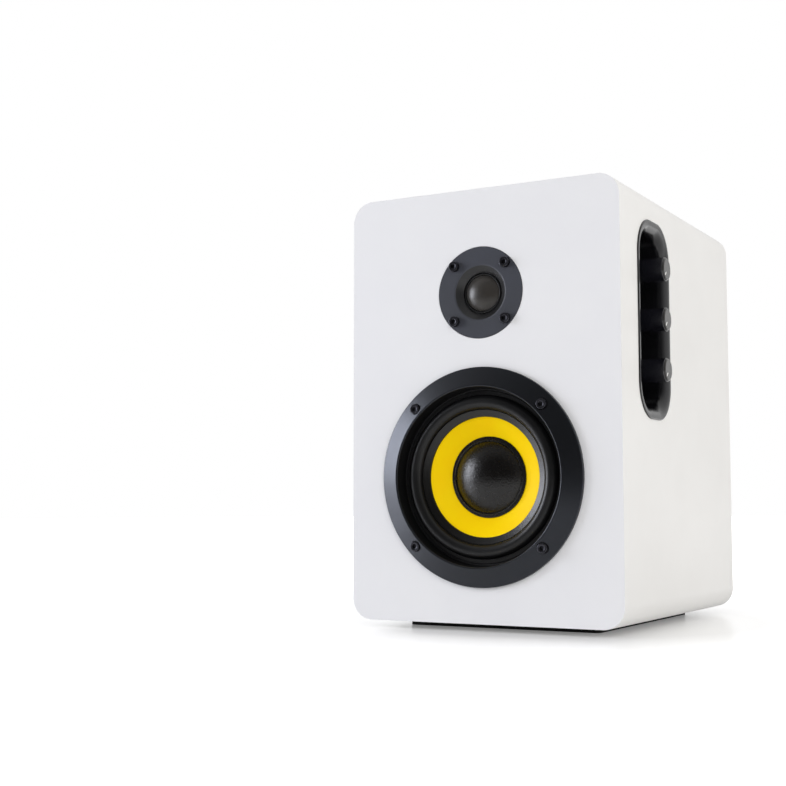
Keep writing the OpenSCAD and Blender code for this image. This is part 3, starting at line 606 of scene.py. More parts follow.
def moved(shape: BMesh, offset: Sequence[float] = (0, 0, 0), turn: Matrix | None = None) -> BMesh:
    """Turns a shape and then moves it.

    Args:
        shape: the mesh.
        offset: the move, in millimetres.
        turn: the turn, made first.

    Returns:
        The same mesh.
    """
    bmesh.ops.transform(
        shape, matrix=Matrix.Translation(offset) @ (turn or Matrix.Identity(4)), verts=shape.verts
    )
    return shape


def spread(shape: BMesh, x: float, y: float) -> BMesh:
    """Pulls the quarters of an open turned shape apart and closes its two ends flat.

    Args:
        shape: the turned shape; its number of flats is a multiple of four.
        x: how far each quarter moves along local x.
        y: how far it moves along local y.

    Returns:
        The same mesh, with the outline of a rounded rectangle.
    """
    flats = sum(1 for e in shape.edges if len(e.link_faces) == 1) // 2
    moved(shape, turn=Matrix.Rotation(math.pi / flats, 4, "Z"))
    for vert in shape.verts:
        vert.co += Vector((math.copysign(x, vert.co.x), math.copysign(y, vert.co.y), 0.0))
    bmesh.ops.holes_fill(shape, edges=shape.edges, sides=0)
    bmesh.ops.recalc_face_normals(shape, faces=shape.faces)
    return shape


def lying_bar(outline: Sequence[Point], width: float, edge: float, pin_r: float = 0.0) -> BMesh:
    """A softened bar of one section, which lies along local x and is centred on it.

    Args:
        outline: its section, along local y and z.
        width: its length along local x.
        edge: radius of the rounding at its two ends.
        pin_r: radius of a hole along its axis, 0 for none.

    Returns:
        The bar.
    """
    shape = bmesh.new()
    verts = [shape.verts.new((*point, 0)) for point in outline]
    for pair in zip(verts, verts[1:] + verts[:1]):
        shape.edges.new(pair)
    if pin_r > 0.0:
        add_circle(shape, (0, 0), pin_r, steps=20)
    fill_flat(shape, shape.edges)
    thicken(shape, width)
    soften(shape, edge, lambda e: at_height(0)(e) or at_height(width)(e))
    moved(shape, (0, 0, -width / 2))
    return moved(shape, turn=Matrix.Rotation(QUARTER, 4, "Z") @ Matrix.Rotation(QUARTER, 4, "X"))


def joined(*shapes: BMesh) -> BMesh:
    """Gathers several shapes in one mesh.

    Args:
        shapes: the shapes; all but the first are used up.

    Returns:
        The first one, with the others in it.
    """
    spare = bpy.data.meshes.new("spare")
    for other in shapes[1:]:
        other.to_mesh(spare)
        shapes[0].from_mesh(spare)
        other.free()
    bpy.data.meshes.remove(spare)
    return shapes[0]


def painted(
    shape: BMesh, index: int, chosen: Callable[[bmesh.types.BMFace], bool] | None = None
) -> BMesh:
    """Gives faces another material.

    Args:
        shape: the mesh.
        index: the material's number on the piece.
        chosen: the test for a face; without one, every face is meant.

    Returns:
        The same mesh.
    """
    for face in shape.faces:
        if chosen is None or chosen(face):
            face.material_index = index
    return shape


# ---- Places ----


def facing_front(x: float, y: float, z: float) -> Matrix:
    """The place whose local z points at the front: local x is +X and local y is +Z."""
    return Matrix.Translation((x, y, z)) @ Matrix.Rotation(QUARTER, 4, "X")


def facing_back(x: float, y: float, z: float) -> Matrix:
    """The place whose local z points at the back: local x is -X and local y is +Z."""
    return Matrix.Translation((x, y, z)) @ Matrix.Rotation(math.pi, 4, "Z") @ facing_front(0, 0, 0)


def facing_right(x: float, y: float, z: float) -> Matrix:
    """The place whose local z points at the right: local x is -Z and local y is +Y."""
    return Matrix.Translation((x, y, z)) @ Matrix.Rotation(QUARTER, 4, "Y")


def facing_up(x: float, y: float, z: float) -> Matrix:
    """The place whose local axes are the speaker's own."""
    return Matrix.Translation((x, y, z))


def centre_of(node: str) -> Vector:
    """The centre of a CAD node's box, in millimetres."""
    low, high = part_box(node)
    return (low + high) / (2.0 * MM)


def low_of(node: str) -> Vector:
    """The lowest corner of a CAD node's box, in millimetres."""
    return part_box(node)[0] / MM


def high_of(node: str) -> Vector:
    """The highest corner of a CAD node's box, in millimetres."""
    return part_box(node)[1] / MM


def size_of(node: str) -> Vector:
    """The size of a CAD node's box, in millimetres."""
    return high_of(node) - low_of(node)


# ---- Pieces ----


@dataclass
class Piece:
    """One finished piece of the speaker."""

    name: str
    shape: BMesh
    place: Matrix
    finishes: Sequence[Finish]
    slot: str
    stands_for: Sequence[str] = ()
    body: str = "cabinet"
    blend: tuple[str, str, Vector, Vector] | None = None
    flat_angle: float = SMOOTH_ANGLE

    def make(self) -> bpy.types.Object:
        """Makes the object, dresses it and sets it on its body.

        Returns:
            The object, which sits at the origin.
        """
        mesh = bpy.data.meshes.new(self.name)
        self.shape.to_mesh(mesh)
        self.shape.free()
        mesh.transform(Matrix.Scale(MM, 4) @ self.place)
        mesh.shade_smooth()
        mesh.set_sharp_from_angle(angle=self.flat_angle)
        for finish in self.finishes:
            mesh.materials.append(finish.material())
        made = bpy.data.objects.new(self.name, mesh)
        bpy.context.scene.collection.objects.link(made)
        weights = made.modifiers.new("Even normals", "WEIGHTED_NORMAL")
        weights.keep_sharp = True
        weights.weight = 50
        if self.blend:
            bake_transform(made)
        else:
            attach(made, self.body)
        if self.stands_for:
            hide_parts(*self.stands_for)
        LOG.info("%s: %d faces, rides on %s", self.name, len(mesh.polygons), self.body)
        return made


def carved(piece: BMesh, *cutters: BMesh) -> BMesh:
    """Cuts shapes out of a solid with a Boolean modifier.

    Args:
        piece: the solid.
        cutters: the closed shapes to take away.

    Returns:
        The carved solid, in place of the first one.
    """
    meshes = [bpy.data.meshes.new(name) for name in ("solid", "cutter")]
    cutter = joined(*cutters)
    for shape, mesh in ((piece, meshes[0]), (cutter, meshes[1])):
        shape.to_mesh(mesh)
        shape.free()
    objects = [bpy.data.objects.new(mesh.name, mesh) for mesh in meshes]
    for item in objects:
        bpy.context.scene.collection.objects.link(item)
    cut = objects[0].modifiers.new("Cut", "BOOLEAN")
    cut.operation, cut.solver, cut.object = "DIFFERENCE", "EXACT", objects[1]
    cut.use_self = len(cutters) > 1
    graph = bpy.context.evaluated_depsgraph_get()
    result = bmesh.new()
    result.from_object(objects[0], graph)
    for item in objects:
        bpy.data.objects.remove(item)
    for mesh in meshes:
        bpy.data.meshes.remove(mesh)
    return result


# ---- Screws ----


def shank(radius: float, length: float, chamfer: Point) -> list[Corner]:
    """The outline of a screw's shank below z = 0, from its tip, for rounded().

    Args:
        radius: of the shank.
        length: of the shank.
        chamfer: its tip's chamfer, across and along.

    Returns:
        The corners, all sharp.
    """
    return [
        (0.0, -length, 0), (radius - chamfer[0], -length, 0),
        (radius, -length + chamfer[1], 0), (radius, 0.0, 0),
    ]


@dataclass(frozen=True)
class CapScrew:
    """An M3 socket-cap screw. Sizes in mm."""

    head_r: float = 2.75
    head_h: float = 3.0
    key_across: float = 2.5
    key_depth: float = 1.6
    key_chamfer: float = 0.22
    key_chamfer_h: float = 0.12
    shank_r: float = 1.5
    tip_chamfer: Point = (0.3, 0.5)

    def shape(self, length: float) -> BMesh:
        """Builds the screw with its head on z = 0.

        Args:
            length: the shank's length.

        Returns:
            The screw.
        """
        key_r = self.key_across / 2.0 / math.cos(math.pi / 6)
        body = turned(
            rounded([
                *shank(self.shank_r, length, self.tip_chamfer), (self.head_r, 0.0, 0.1),
                (self.head_r, self.head_h, 0.35), (key_r + self.key_chamfer, self.head_h, 0),
            ], steps=4),
            steps=40,
        )
        rim = [e for e in body.edges if e.is_boundary]
        key = add_circle(body, (0, 0), key_r, self.head_h - self.key_chamfer_h, steps=6)
        bmesh.ops.bridge_loops(body, edges=rim + key)
        sunk = bmesh.ops.extrude_edge_only(body, edges=key)["geom"]
        floor = [g for g in sunk if isinstance(g, bmesh.types.BMVert)]
        bmesh.ops.translate(body, verts=floor, vec=(0, 0, self.key_chamfer_h - self.key_depth))
        bmesh.ops.contextual_create(body, geom=[
            e for e in sunk if isinstance(e, bmesh.types.BMEdge) and e.is_boundary
        ])
        bmesh.ops.recalc_face_normals(body, faces=body.faces)
        return body


@dataclass(frozen=True)
class PanScrew:
    """An M3 pan-head screw with a cross recess. Sizes in mm."""

    head_r: float = 3.0
    head_h: float = 1.8
    shank_r: float = 1.5
    tip_chamfer: Point = (0.3, 0.5)
    cross_w: float = 0.8
    cross_l: float = 3.4
    cross_depth: float = 1.0

    def shape(self, length: float) -> BMesh:
        """Builds the screw with its head on z = 0.

        Args:
            length: the shank's length.

        Returns:
            The screw.
        """
        body = turned(
            rounded([
                *shank(self.shank_r, length, self.tip_chamfer), (self.head_r, 0.0, 0.15),
                (self.head_r, self.head_h, 1.2), (0.0, self.head_h, 0),
            ], steps=6),
            steps=40,
        )
        bars = [
            moved(
                slab(self.cross_l, self.cross_w, 0.25, 2.0, steps=3),
                (0, 0, self.head_h - self.cross_depth),
                Matrix.Rotation(turn, 4, "Z"),
            )
            for turn in (0.0, QUARTER)
        ]
        return carved(body, *bars)


def corner_places(x: float, y: float) -> list[Point]:
    """The four corners of a rectangle round the centre."""
    return [(sx * x, sy * y) for sx in (-1, 1) for sy in (-1, 1)]


def ring_places(radius: float) -> list[Point]:
    """The four places at 45 degrees on a circle."""
    reach = radius * math.cos(math.pi / 4)
    return corner_places(reach, reach)


@dataclass(frozen=True)
class ScrewSet:
    """Screws of one kind on one plane, each driven to another angle.

    The first is turned by turn and each next one by step more, in radians.
    """

    name: str
    node: str
    screw: CapScrew | PanScrew
    length: float
    turn: float
    step: float

    def make(self, place: Matrix, points: Sequence[Point], seat: float = 0.0) -> None:
        """Makes the screws as one piece.

        Args:
            place: the plane's.
            points: where the screws stand on it.
            seat: the height of the heads' underside.
        """
        screws = [
            moved(self.screw.shape(self.length), (x, y, seat),
                  Matrix.Rotation(self.turn + self.step * k, 4, "Z"))
            for k, (x, y) in enumerate(points)
        ]
        Piece(
            self.name, joined(*screws), place, [OXIDE_STEEL], "black_screw", [self.node]
        ).make()

    def pockets(
        self, points: Sequence[Point], seat: float, gap: float, draft: float, top: float
    ) -> list[BMesh]:
        """The cutters for the screws' seats.

        Args:
            points: where the screws stand.
            seat: the seats' height.
            gap: the clearance round the heads.
            draft: how much the pockets widen up to their top.
            top: the cutters' upper end.

        Returns:
            One cutter for each screw.
        """
        r = self.screw.head_r + gap
        profile = [(0.0, seat), (r, seat), (r + draft, top), (0.0, top)]
        return [moved(turned(profile, steps=48), (x, y, 0)) for x, y in points]


# ---- Cabinet ----


@dataclass
class Cabinet:
    """The wrapped shell, the front baffle, the rear panel and the base pad. Sizes in mm."""

    corner: float = 12.0
    corner_steps: int = 20
    wall: float = 12.0
    front_edge: float = 1.0
    rear_edge: float = 0.6
    tray_inset: float = 2.7
    tray_corner: float = 17.3
    woofer_gap: float = 0.3
    tweeter_gap: float = 0.15
    board_corner: float = 0.6
    board_edge: float = 0.5
    port_lap: float = 2.5
    amp_lap: float = 7.0
    amp_corner: float = 1.0
    pad_corner: float = 4.0
    pad_edge: float = 0.6
    screws: ScrewSet = ScrewSet(
        "board_pan_screws", "rear_panel_screws", PanScrew(), 20.0, 0.3, 0.7
    )

    def __post_init__(self) -> None:
        """Reads the cabinet's places from the frame."""
        self.low, self.high = low_of("cabinet_wrap"), high_of("cabinet_wrap")
        self.front = low_of("front_baffle").y
        self.width = self.high.x - self.low.x
        self.height = self.high.z - self.low.z
        self.mid_z = (self.high.z + self.low.z) / 2.0

    def build(self) -> None:
        """Makes every piece of the cabinet."""
        self._shell()
        self._baffle()
        self._rear_panel()
        self._rear_screws()
        self._base_pad()

    def _shell(self) -> None:
        """The four walls, as one tube with the control panel's cut-out in its right wall."""
        depth = self.high.y - self.low.y
        shape = bmesh.new()
        add_outline(shape, self.width, self.height, self.corner, steps=self.corner_steps)
        add_outline(shape, self.width - 2 * self.wall, self.height - 2 * self.wall, 0.0)
        fill_flat(shape, shape.edges)
        thicken(shape, depth)
        # local z runs forwards, so the rear rim is the one at z = 0
        soften(shape, self.rear_edge, at_height(0.0))
        moved(shape, (0, 0, self.front - self.high.y))
        place = facing_front(0, self.front, self.mid_z)
        controls, panel = centre_of("control_bezel"), size_of("control_bezel")
        cutter = moved(
            slab(panel.z - 2 * self.tray_inset, panel.y - 2 * self.tray_inset, self.tray_corner,
                 4 * self.wall, steps=16),
            (0, 0, -2 * self.wall),
        )
        to_local = place.inverted() @ facing_right(self.high.x, controls.y, controls.z)
        moved(cutter, turn=to_local)
        bmesh.ops.recalc_face_normals(cutter, faces=cutter.faces)
        Piece(
            "cabinet_shell", carved(shape, cutter), place, [WHITE_VINYL], "vinyl_white",
            ["cabinet_wrap"],
        ).make()

    def _baffle(self) -> None:
        """The lacquered front, with its two driver seats."""
        woofer, tweeter = centre_of("woofer_trim_ring"), centre_of("tweeter_faceplate")
        seat_r = size_of("woofer_gasket").x / 2.0 + self.woofer_gap
        plate_r = size_of("tweeter_faceplate").x / 2.0 + self.tweeter_gap
        thickness = high_of("front_baffle").y - self.front
        holes = (
            ((woofer.x, woofer.z - self.mid_z), seat_r),
            ((tweeter.x, tweeter.z - self.mid_z), plate_r),
        )
        shape = bmesh.new()
        add_outline(shape, self.width, self.height, self.corner, steps=self.corner_steps)
        for centre, radius in holes:
            add_circle(shape, centre, radius, steps=96)
        fill_flat(shape, shape.edges)
        thicken(shape, thickness)
        soften(shape, self.front_edge, at_height(thickness), steps=4)
        moved(shape, (0, 0, -thickness))
        # the sides keep the shell's vinyl and the front its lacquer, darker as painted shade; the
        # rounding between is darker still
        painted(shape, 1, lambda face: abs(face.normal.z) < 0.99)
        painted(shape, 2, lambda face: 0.1 < abs(face.normal.z) < 0.99)
        Piece(
            "front_baffle_board", shape, facing_front(0, self.front, self.mid_z),
            [WHITE_LACQUER, WHITE_VINYL, LACQUER_EDGE], "vinyl_white_front", ["front_baffle"],
        ).make()

    def _rear_panel(self) -> None:
        """The rear board, with its openings for the port and the amplifier."""
        size, rear = size_of("rear_panel"), high_of("rear_panel").y
        port, port_r = centre_of("port_tube"), size_of("port_tube").x / 2.0 - self.port_lap
        amp, cut = centre_of("amp_plate"), size_of("amp_plate")
        shape = bmesh.new()
        add_outline(shape, size.x, size.z, self.board_corner, steps=2)
        add_circle(shape, (-port.x, port.z - self.mid_z), port_r, steps=96)
        old = set(shape.verts)
        add_outline(
            shape, cut.x - 2 * self.amp_lap, cut.z - 2 * self.amp_lap, self.amp_corner, steps=3
        )
        bmesh.ops.translate(
            shape, verts=[v for v in shape.verts if v not in old],
            vec=(-amp.x, amp.z - self.mid_z, 0),
        )
        fill_flat(shape, shape.edges)
        thicken(shape, size.y)
        soften(shape, self.board_edge, at_height(size.y))
        moved(shape, (0, 0, -size.y))
        Piece(
            "rear_board", shape, facing_back(0, rear, self.mid_z), [WHITE_VINYL],
            "vinyl_white", ["rear_panel"],
        ).make()

    def _rear_screws(self) -> None:
        """The rear board's four pan-head screws."""
        size, mid = size_of(self.screws.node), centre_of(self.screws.node)
        head_r = self.screws.screw.head_r
        self.screws.make(
            facing_back(mid.x, high_of("rear_panel").y, mid.z),
            corner_places(size.x / 2 - head_r, size.z / 2 - head_r),
        )

    def _base_pad(self) -> None:
        """The dense foam pad under the cabinet."""
        size, low = size_of("base_pad"), low_of("base_pad")
        shape = slab(size.x, size.y, self.pad_corner, size.z, self.pad_edge, all_round=True)
        Piece(
            "base_pad_foam", shape, facing_up(0, low.y + size.y / 2.0, low.z), [BASE_FOAM],
            "rubber_pad", ["base_pad"],
        ).make()


# ---- Woofer ----


@dataclass
class Woofer:
    """The four-inch driver. Radii and heights over the baffle's face, in mm."""

    seat_r: float = 57.7
    edge_h: float = 2.2
    lip_r: float = 48.2
    lip_h: float = 6.5
    well_r: float = 47.4
    flange_z: float = -2.4
    flange_t: float = 0.6
    roll_mid_r: float = 40.35
    roll_r: float = 3.65
    roll_t: float = 0.6
    cone_in_r: float = 13.0
    cone_rim_r: float = 36.4
    cone_depth: float = 10.0
    cone_slope: float = 8.0 / 14.6
    cone_t: float = 0.9
    flap_in_r: float = 32.5
    cap_flange_r: float = 22.1
    cap_r: float = 19.3
    cap_h: float = 6.7
    screw_circle_r: float = 53.0
    collar_r: float = 14.4
    wave_h: float = 0.9
    waves: int = 4
    spider_t: float = 0.5
    screws: ScrewSet = ScrewSet(
        "woofer_cap_screws", "woofer_screws", CapScrew(), 16.0, 0.4, 1.0
    )

    def __post_init__(self) -> None:
        """Reads the driver's place from the frame."""
        centre = centre_of("woofer_trim_ring")
        self.front = low_of("front_baffle").y
        self.edge_r = size_of("woofer_trim_ring").x / 2.0
        self.place = facing_front(centre.x, self.front, centre.z)
        self.roll_z = self.flange_z + 0.4
        self.seat = self.ring_face(self.screw_circle_r + self.screws.screw.head_r + 0.4)
        self.screw_places = ring_places(self.screw_circle_r)

    def cone_face(self, radius: float) -> float:
        """The height of the cone's face at a radius."""
        return -self.cone_depth + (radius - self.cap_flange_r) * self.cone_slope

    def ring_face(self, radius: float) -> float:
        """The height of the trim ring's face at a radius."""
        rise = (self.lip_h - self.edge_h) / (self.edge_r - 0.6 - self.lip_r - 0.6)
        return self.edge_h + rise * (self.edge_r - 0.6 - radius)

    def build(self) -> None:
        """Makes every piece of the driver's face."""
        self._trim_ring()
        self.screws.make(self.place, self.screw_places, self.seat)
        self._surround()
        self._cone()
        self._dust_cap()
        self._spider()

    def _trim_ring(self) -> None:
        """The conical ring with its rounded lip and its screw seats."""
        profile = rounded([
            (self.seat_r, self.flange_z, 0), (self.seat_r, 0.02, 0), (self.edge_r, 0.02, 0.2),
            (self.edge_r, self.edge_h, 0.7), (self.lip_r, self.lip_h + 0.2, 0.9),
            (self.well_r, self.flange_z + 0.05, 0), (self.seat_r - 1.0, self.flange_z, 0),
        ])
        pockets = self.screws.pockets(self.screw_places, self.seat, 0.35, 0.1, 9.0)
        ring = carved(turned(profile, steps=192, closed=True), *pockets)
        # the well's inner wall takes the darker finish: painted shade
        well_limit = self.lip_r - 0.05
        painted(ring, 1, lambda f: math.hypot(*f.calc_center_median().xy) < well_limit)
        Piece(
            "woofer_ring", ring, self.place, [RING_ABS, WELL_PAINTED_SHADE], "satin_abs",
            ["woofer_trim_ring"], flat_angle=CARVED_SMOOTH_ANGLE,
        ).make()

    def _roll(self, start: float, end: float) -> list[Point]:
        """The outline of a stretch of the half-roll.

        Args:
            start: the stretch's first angle, in degrees.
            end: its last angle.

        Returns:
            The closed outline: outer side, then inner side.
        """
        centre = (self.roll_mid_r, self.roll_z)
        outer = arc(centre, self.roll_r + self.roll_t / 2, start, end, 24)
        inner = arc(centre, self.roll_r - self.roll_t / 2, end, start, 24)
        return outer + inner

    def _surround(self) -> None:
        """The rubber half-roll, split at its crest into two halves, and the flap that meets the
        cone.
        """
        foot, rim_top = self.roll_mid_r + self.roll_r, self.flange_z + self.flange_t
        outer = turned(self._roll(0, 90), steps=160, closed=True)
        rim = turned(
            rounded([
                (foot - 0.3, self.flange_z, 0), (foot - 0.3, rim_top, 0),
                (self.well_r - 0.9, rim_top, 0.25), (self.well_r - 0.7, self.flange_z, 0),
            ]),
            steps=160, closed=True,
        )
        Piece(
            "surround_outer_half", joined(outer, rim), self.place, [BUTYL_RUBBER],
            "rubber_surround", ["woofer_surround"],
        ).make()
        neck = self.roll_mid_r - self.roll_r
        flap_z = self.cone_face(self.flap_in_r)
        flap = turned(
            rounded([
                (neck + 0.25, self.roll_z + 0.2, 0), (neck - 0.25, self.roll_z + 0.05, 0.1),
                (neck - 0.5, self.roll_z + 0.35, 0.2),
                (self.flap_in_r + 0.1, flap_z + 1.05, 0.3),
                (self.flap_in_r, flap_z + 0.1, 0),
                (neck + 0.25, self.cone_face(neck + 0.25) + 0.1, 0),
            ]),
            steps=160, closed=True,
        )
        crest = Vector((0, self.front - self.roll_z - self.roll_r, 0)) * MM
        hollow = Vector((0, self.front - self.roll_z, 0)) * MM
        Piece(
            "surround_inner_half", turned(self._roll(90, 180), steps=160, closed=True),
            self.place, [BUTYL_RUBBER], "rubber_surround",
            blend=("cabinet", "woofer_moving", crest, hollow), body="cabinet to woofer_moving",
        ).make()
        Piece(
            "surround_flap", flap, self.place, [BUTYL_FLAP], "rubber_surround",
            body="woofer_moving",
        ).make()

    def _cone(self) -> None:
        """The yellow cone, with its glued edge under the surround's flap."""
        profile = [
            (self.cone_in_r, self.cone_face(self.cone_in_r)),
            (self.cone_rim_r - 0.4, self.cone_face(self.cone_rim_r - 0.4)),
            (self.cone_rim_r - 0.4, self.cone_face(self.cone_rim_r - 0.4) - self.cone_t),
            (self.cone_in_r, self.cone_face(self.cone_in_r) - self.cone_t),
        ]
        Piece(
            "woofer_cone_skin", turned(profile, steps=192, closed=True), self.place,
            [YELLOW_CONE], "yellow_cone", ["woofer_cone"], body="woofer_moving",
        ).make()

    def _dust_cap(self) -> None:
        """The cap: its glued flange, its bead and its shallow dome."""
        flange_z = self.cone_face(self.cap_flange_r)
        dome_z = flange_z + 0.7
        dome = dome_arc(self.cap_r, self.cap_h, dome_z)
        edge = rounded([
            (self.cap_r, dome_z, 0), (self.cap_r + 0.25, dome_z - 0.45, 0.15),
            (self.cap_r + 0.6, dome_z + 0.5, 0.35), (self.cap_r + 1.15, dome_z + 0.02, 0.3),
            (self.cap_flange_r, dome_z - 0.05, 0.3), (self.cap_flange_r, flange_z + 0.1, 0),
            (self.cap_r - 1.0, self.cone_face(self.cap_r - 1.0) + 0.1, 0),
        ], steps=4)
        Piece(
            "dust_cap", turned(dome + edge[1:], steps=144), self.place, [DUST_CAP],
            "dust_cap", ["woofer_dust_cap"], body="woofer_moving",
        ).make()

    def _spider(self) -> None:
        """The corrugated spider: its collar moves with the coil, and its waves stay behind."""
        middle = self.front - centre_of("woofer_spider").y + self.spider_t / 2
        rim_r = size_of("woofer_spider").x / 2.0
        last_wave = rim_r - self.cone_in_r - 2.5

        def height(radius: float) -> float:
            """The height of the cloth's face at a radius."""
            share = min((radius - self.cone_in_r - 0.1) / last_wave, 1.0)
            return middle + self.wave_h * math.sin(share * self.waves * FULL_TURN)

        for name, body, nodes, start, end in (
            ("spider_collar", "woofer_moving", [], self.cone_in_r + 0.1, self.collar_r),
            ("spider_waves", "cabinet", ["woofer_spider"], self.collar_r + 0.1, rim_r),
        ):
            radii = [start + (end - start) * k / 64 for k in range(65)]
            face = [(r, height(r)) for r in radii]
            back = [(r, z - self.spider_t) for r, z in reversed(face)]
            Piece(
                name, turned(face + back, steps=72, closed=True), self.place, [SPIDER_CLOTH],
                "spider_cloth", nodes, body=body,
            ).make()


# ---- Tweeter ----


@dataclass
class Tweeter:
    """The silk-dome driver. Radii and heights over the baffle's face, in mm."""

    proud: float = 0.3
    flare_depth: float = 3.2
    flare_r: float = 15.2
    throat_r: float = 11.4
    dome_r: float = 9.7
    dome_h: float = 3.5
    skirt_t: float = 0.3
    screw_circle_r: float = 21.5
    spotface: float = 0.6
    screws: ScrewSet = ScrewSet(
        "tweeter_cap_screws", "tweeter_screws", CapScrew(), 12.0, 0.0, 0.9
    )

    def __post_init__(self) -> None:
        """Reads the driver's place from the frame."""
        centre = centre_of("tweeter_faceplate")
        self.plate_r = size_of("tweeter_faceplate").x / 2.0
        self.place = facing_front(centre.x, low_of("front_baffle").y, centre.z)
        self.seat = self.proud - self.spotface
        self.screw_places = ring_places(self.screw_circle_r)

    def build(self) -> None:
        """Makes every piece of the driver's face."""
        self._plate()
        self.screws.make(self.place, self.screw_places, self.seat)
        self._dome()
        self._surround()

    def _plate(self) -> None:
        """The moulded plate with its flared mouth."""
        profile = rounded([
            (self.throat_r, -self.flare_depth, 0), (self.plate_r, -self.flare_depth, 0),
            (self.plate_r, self.proud, 0.25), (self.flare_r, self.proud, 1.4),
            (self.throat_r + 0.5, -self.flare_depth + 0.6, 0.6),
            (self.throat_r, -self.flare_depth + 0.1, 0),
        ], steps=8)
        pockets = self.screws.pockets(self.screw_places, self.seat, 0.12, 0.08, 2.0)
        plate = carved(turned(profile, steps=160, closed=True), *pockets)
        # the flared mouth takes the darker finish: painted shade in the recess
        mouth = self.flare_r - 0.5
        painted(plate, 1, lambda face: math.hypot(*face.calc_center_median().xy) < mouth)
        Piece(
            "tweeter_plate", plate, self.place, [PLATE_ABS, MOUTH_PAINTED_SHADE], "tweeter_plate",
            ["tweeter_faceplate"], flat_angle=CARVED_SMOOTH_ANGLE,
        ).make()

    def _dome(self) -> None:
        """The coated silk dome and the skirt that joins its coil."""
        base, inner_r = -self.flare_depth - 0.3, self.dome_r - self.skirt_t
        dome = dome_arc(self.dome_r, self.dome_h, base)
        skirt = [(self.dome_r, base - 1.0), (inner_r, base - 1.0), (inner_r, base)]
        Piece(
            "silk_dome", turned(dome + skirt, steps=96), self.place, [COATED_SILK], "silk_dome",
            ["tweeter_dome"], body="tweeter_moving",
        ).make()

    def _surround(self) -> None:
        """The small half-roll between the dome and the plate."""
        inner_r, outer_r = self.dome_r + 0.1, self.throat_r - 0.2
        roll = (outer_r - inner_r) / 2.0
        centre = (inner_r + roll, -self.flare_depth - 0.5)
        outline = arc(centre, roll, 0, 180, 14) + arc(centre, roll - self.skirt_t, 180, 0, 14)
        Piece(
            "tweeter_roll", turned(outline, steps=96, closed=True), self.place, [BUTYL_RUBBER],
            "rubber_surround", ["tweeter_surround"],
        ).make()


# ---- Side controls ----


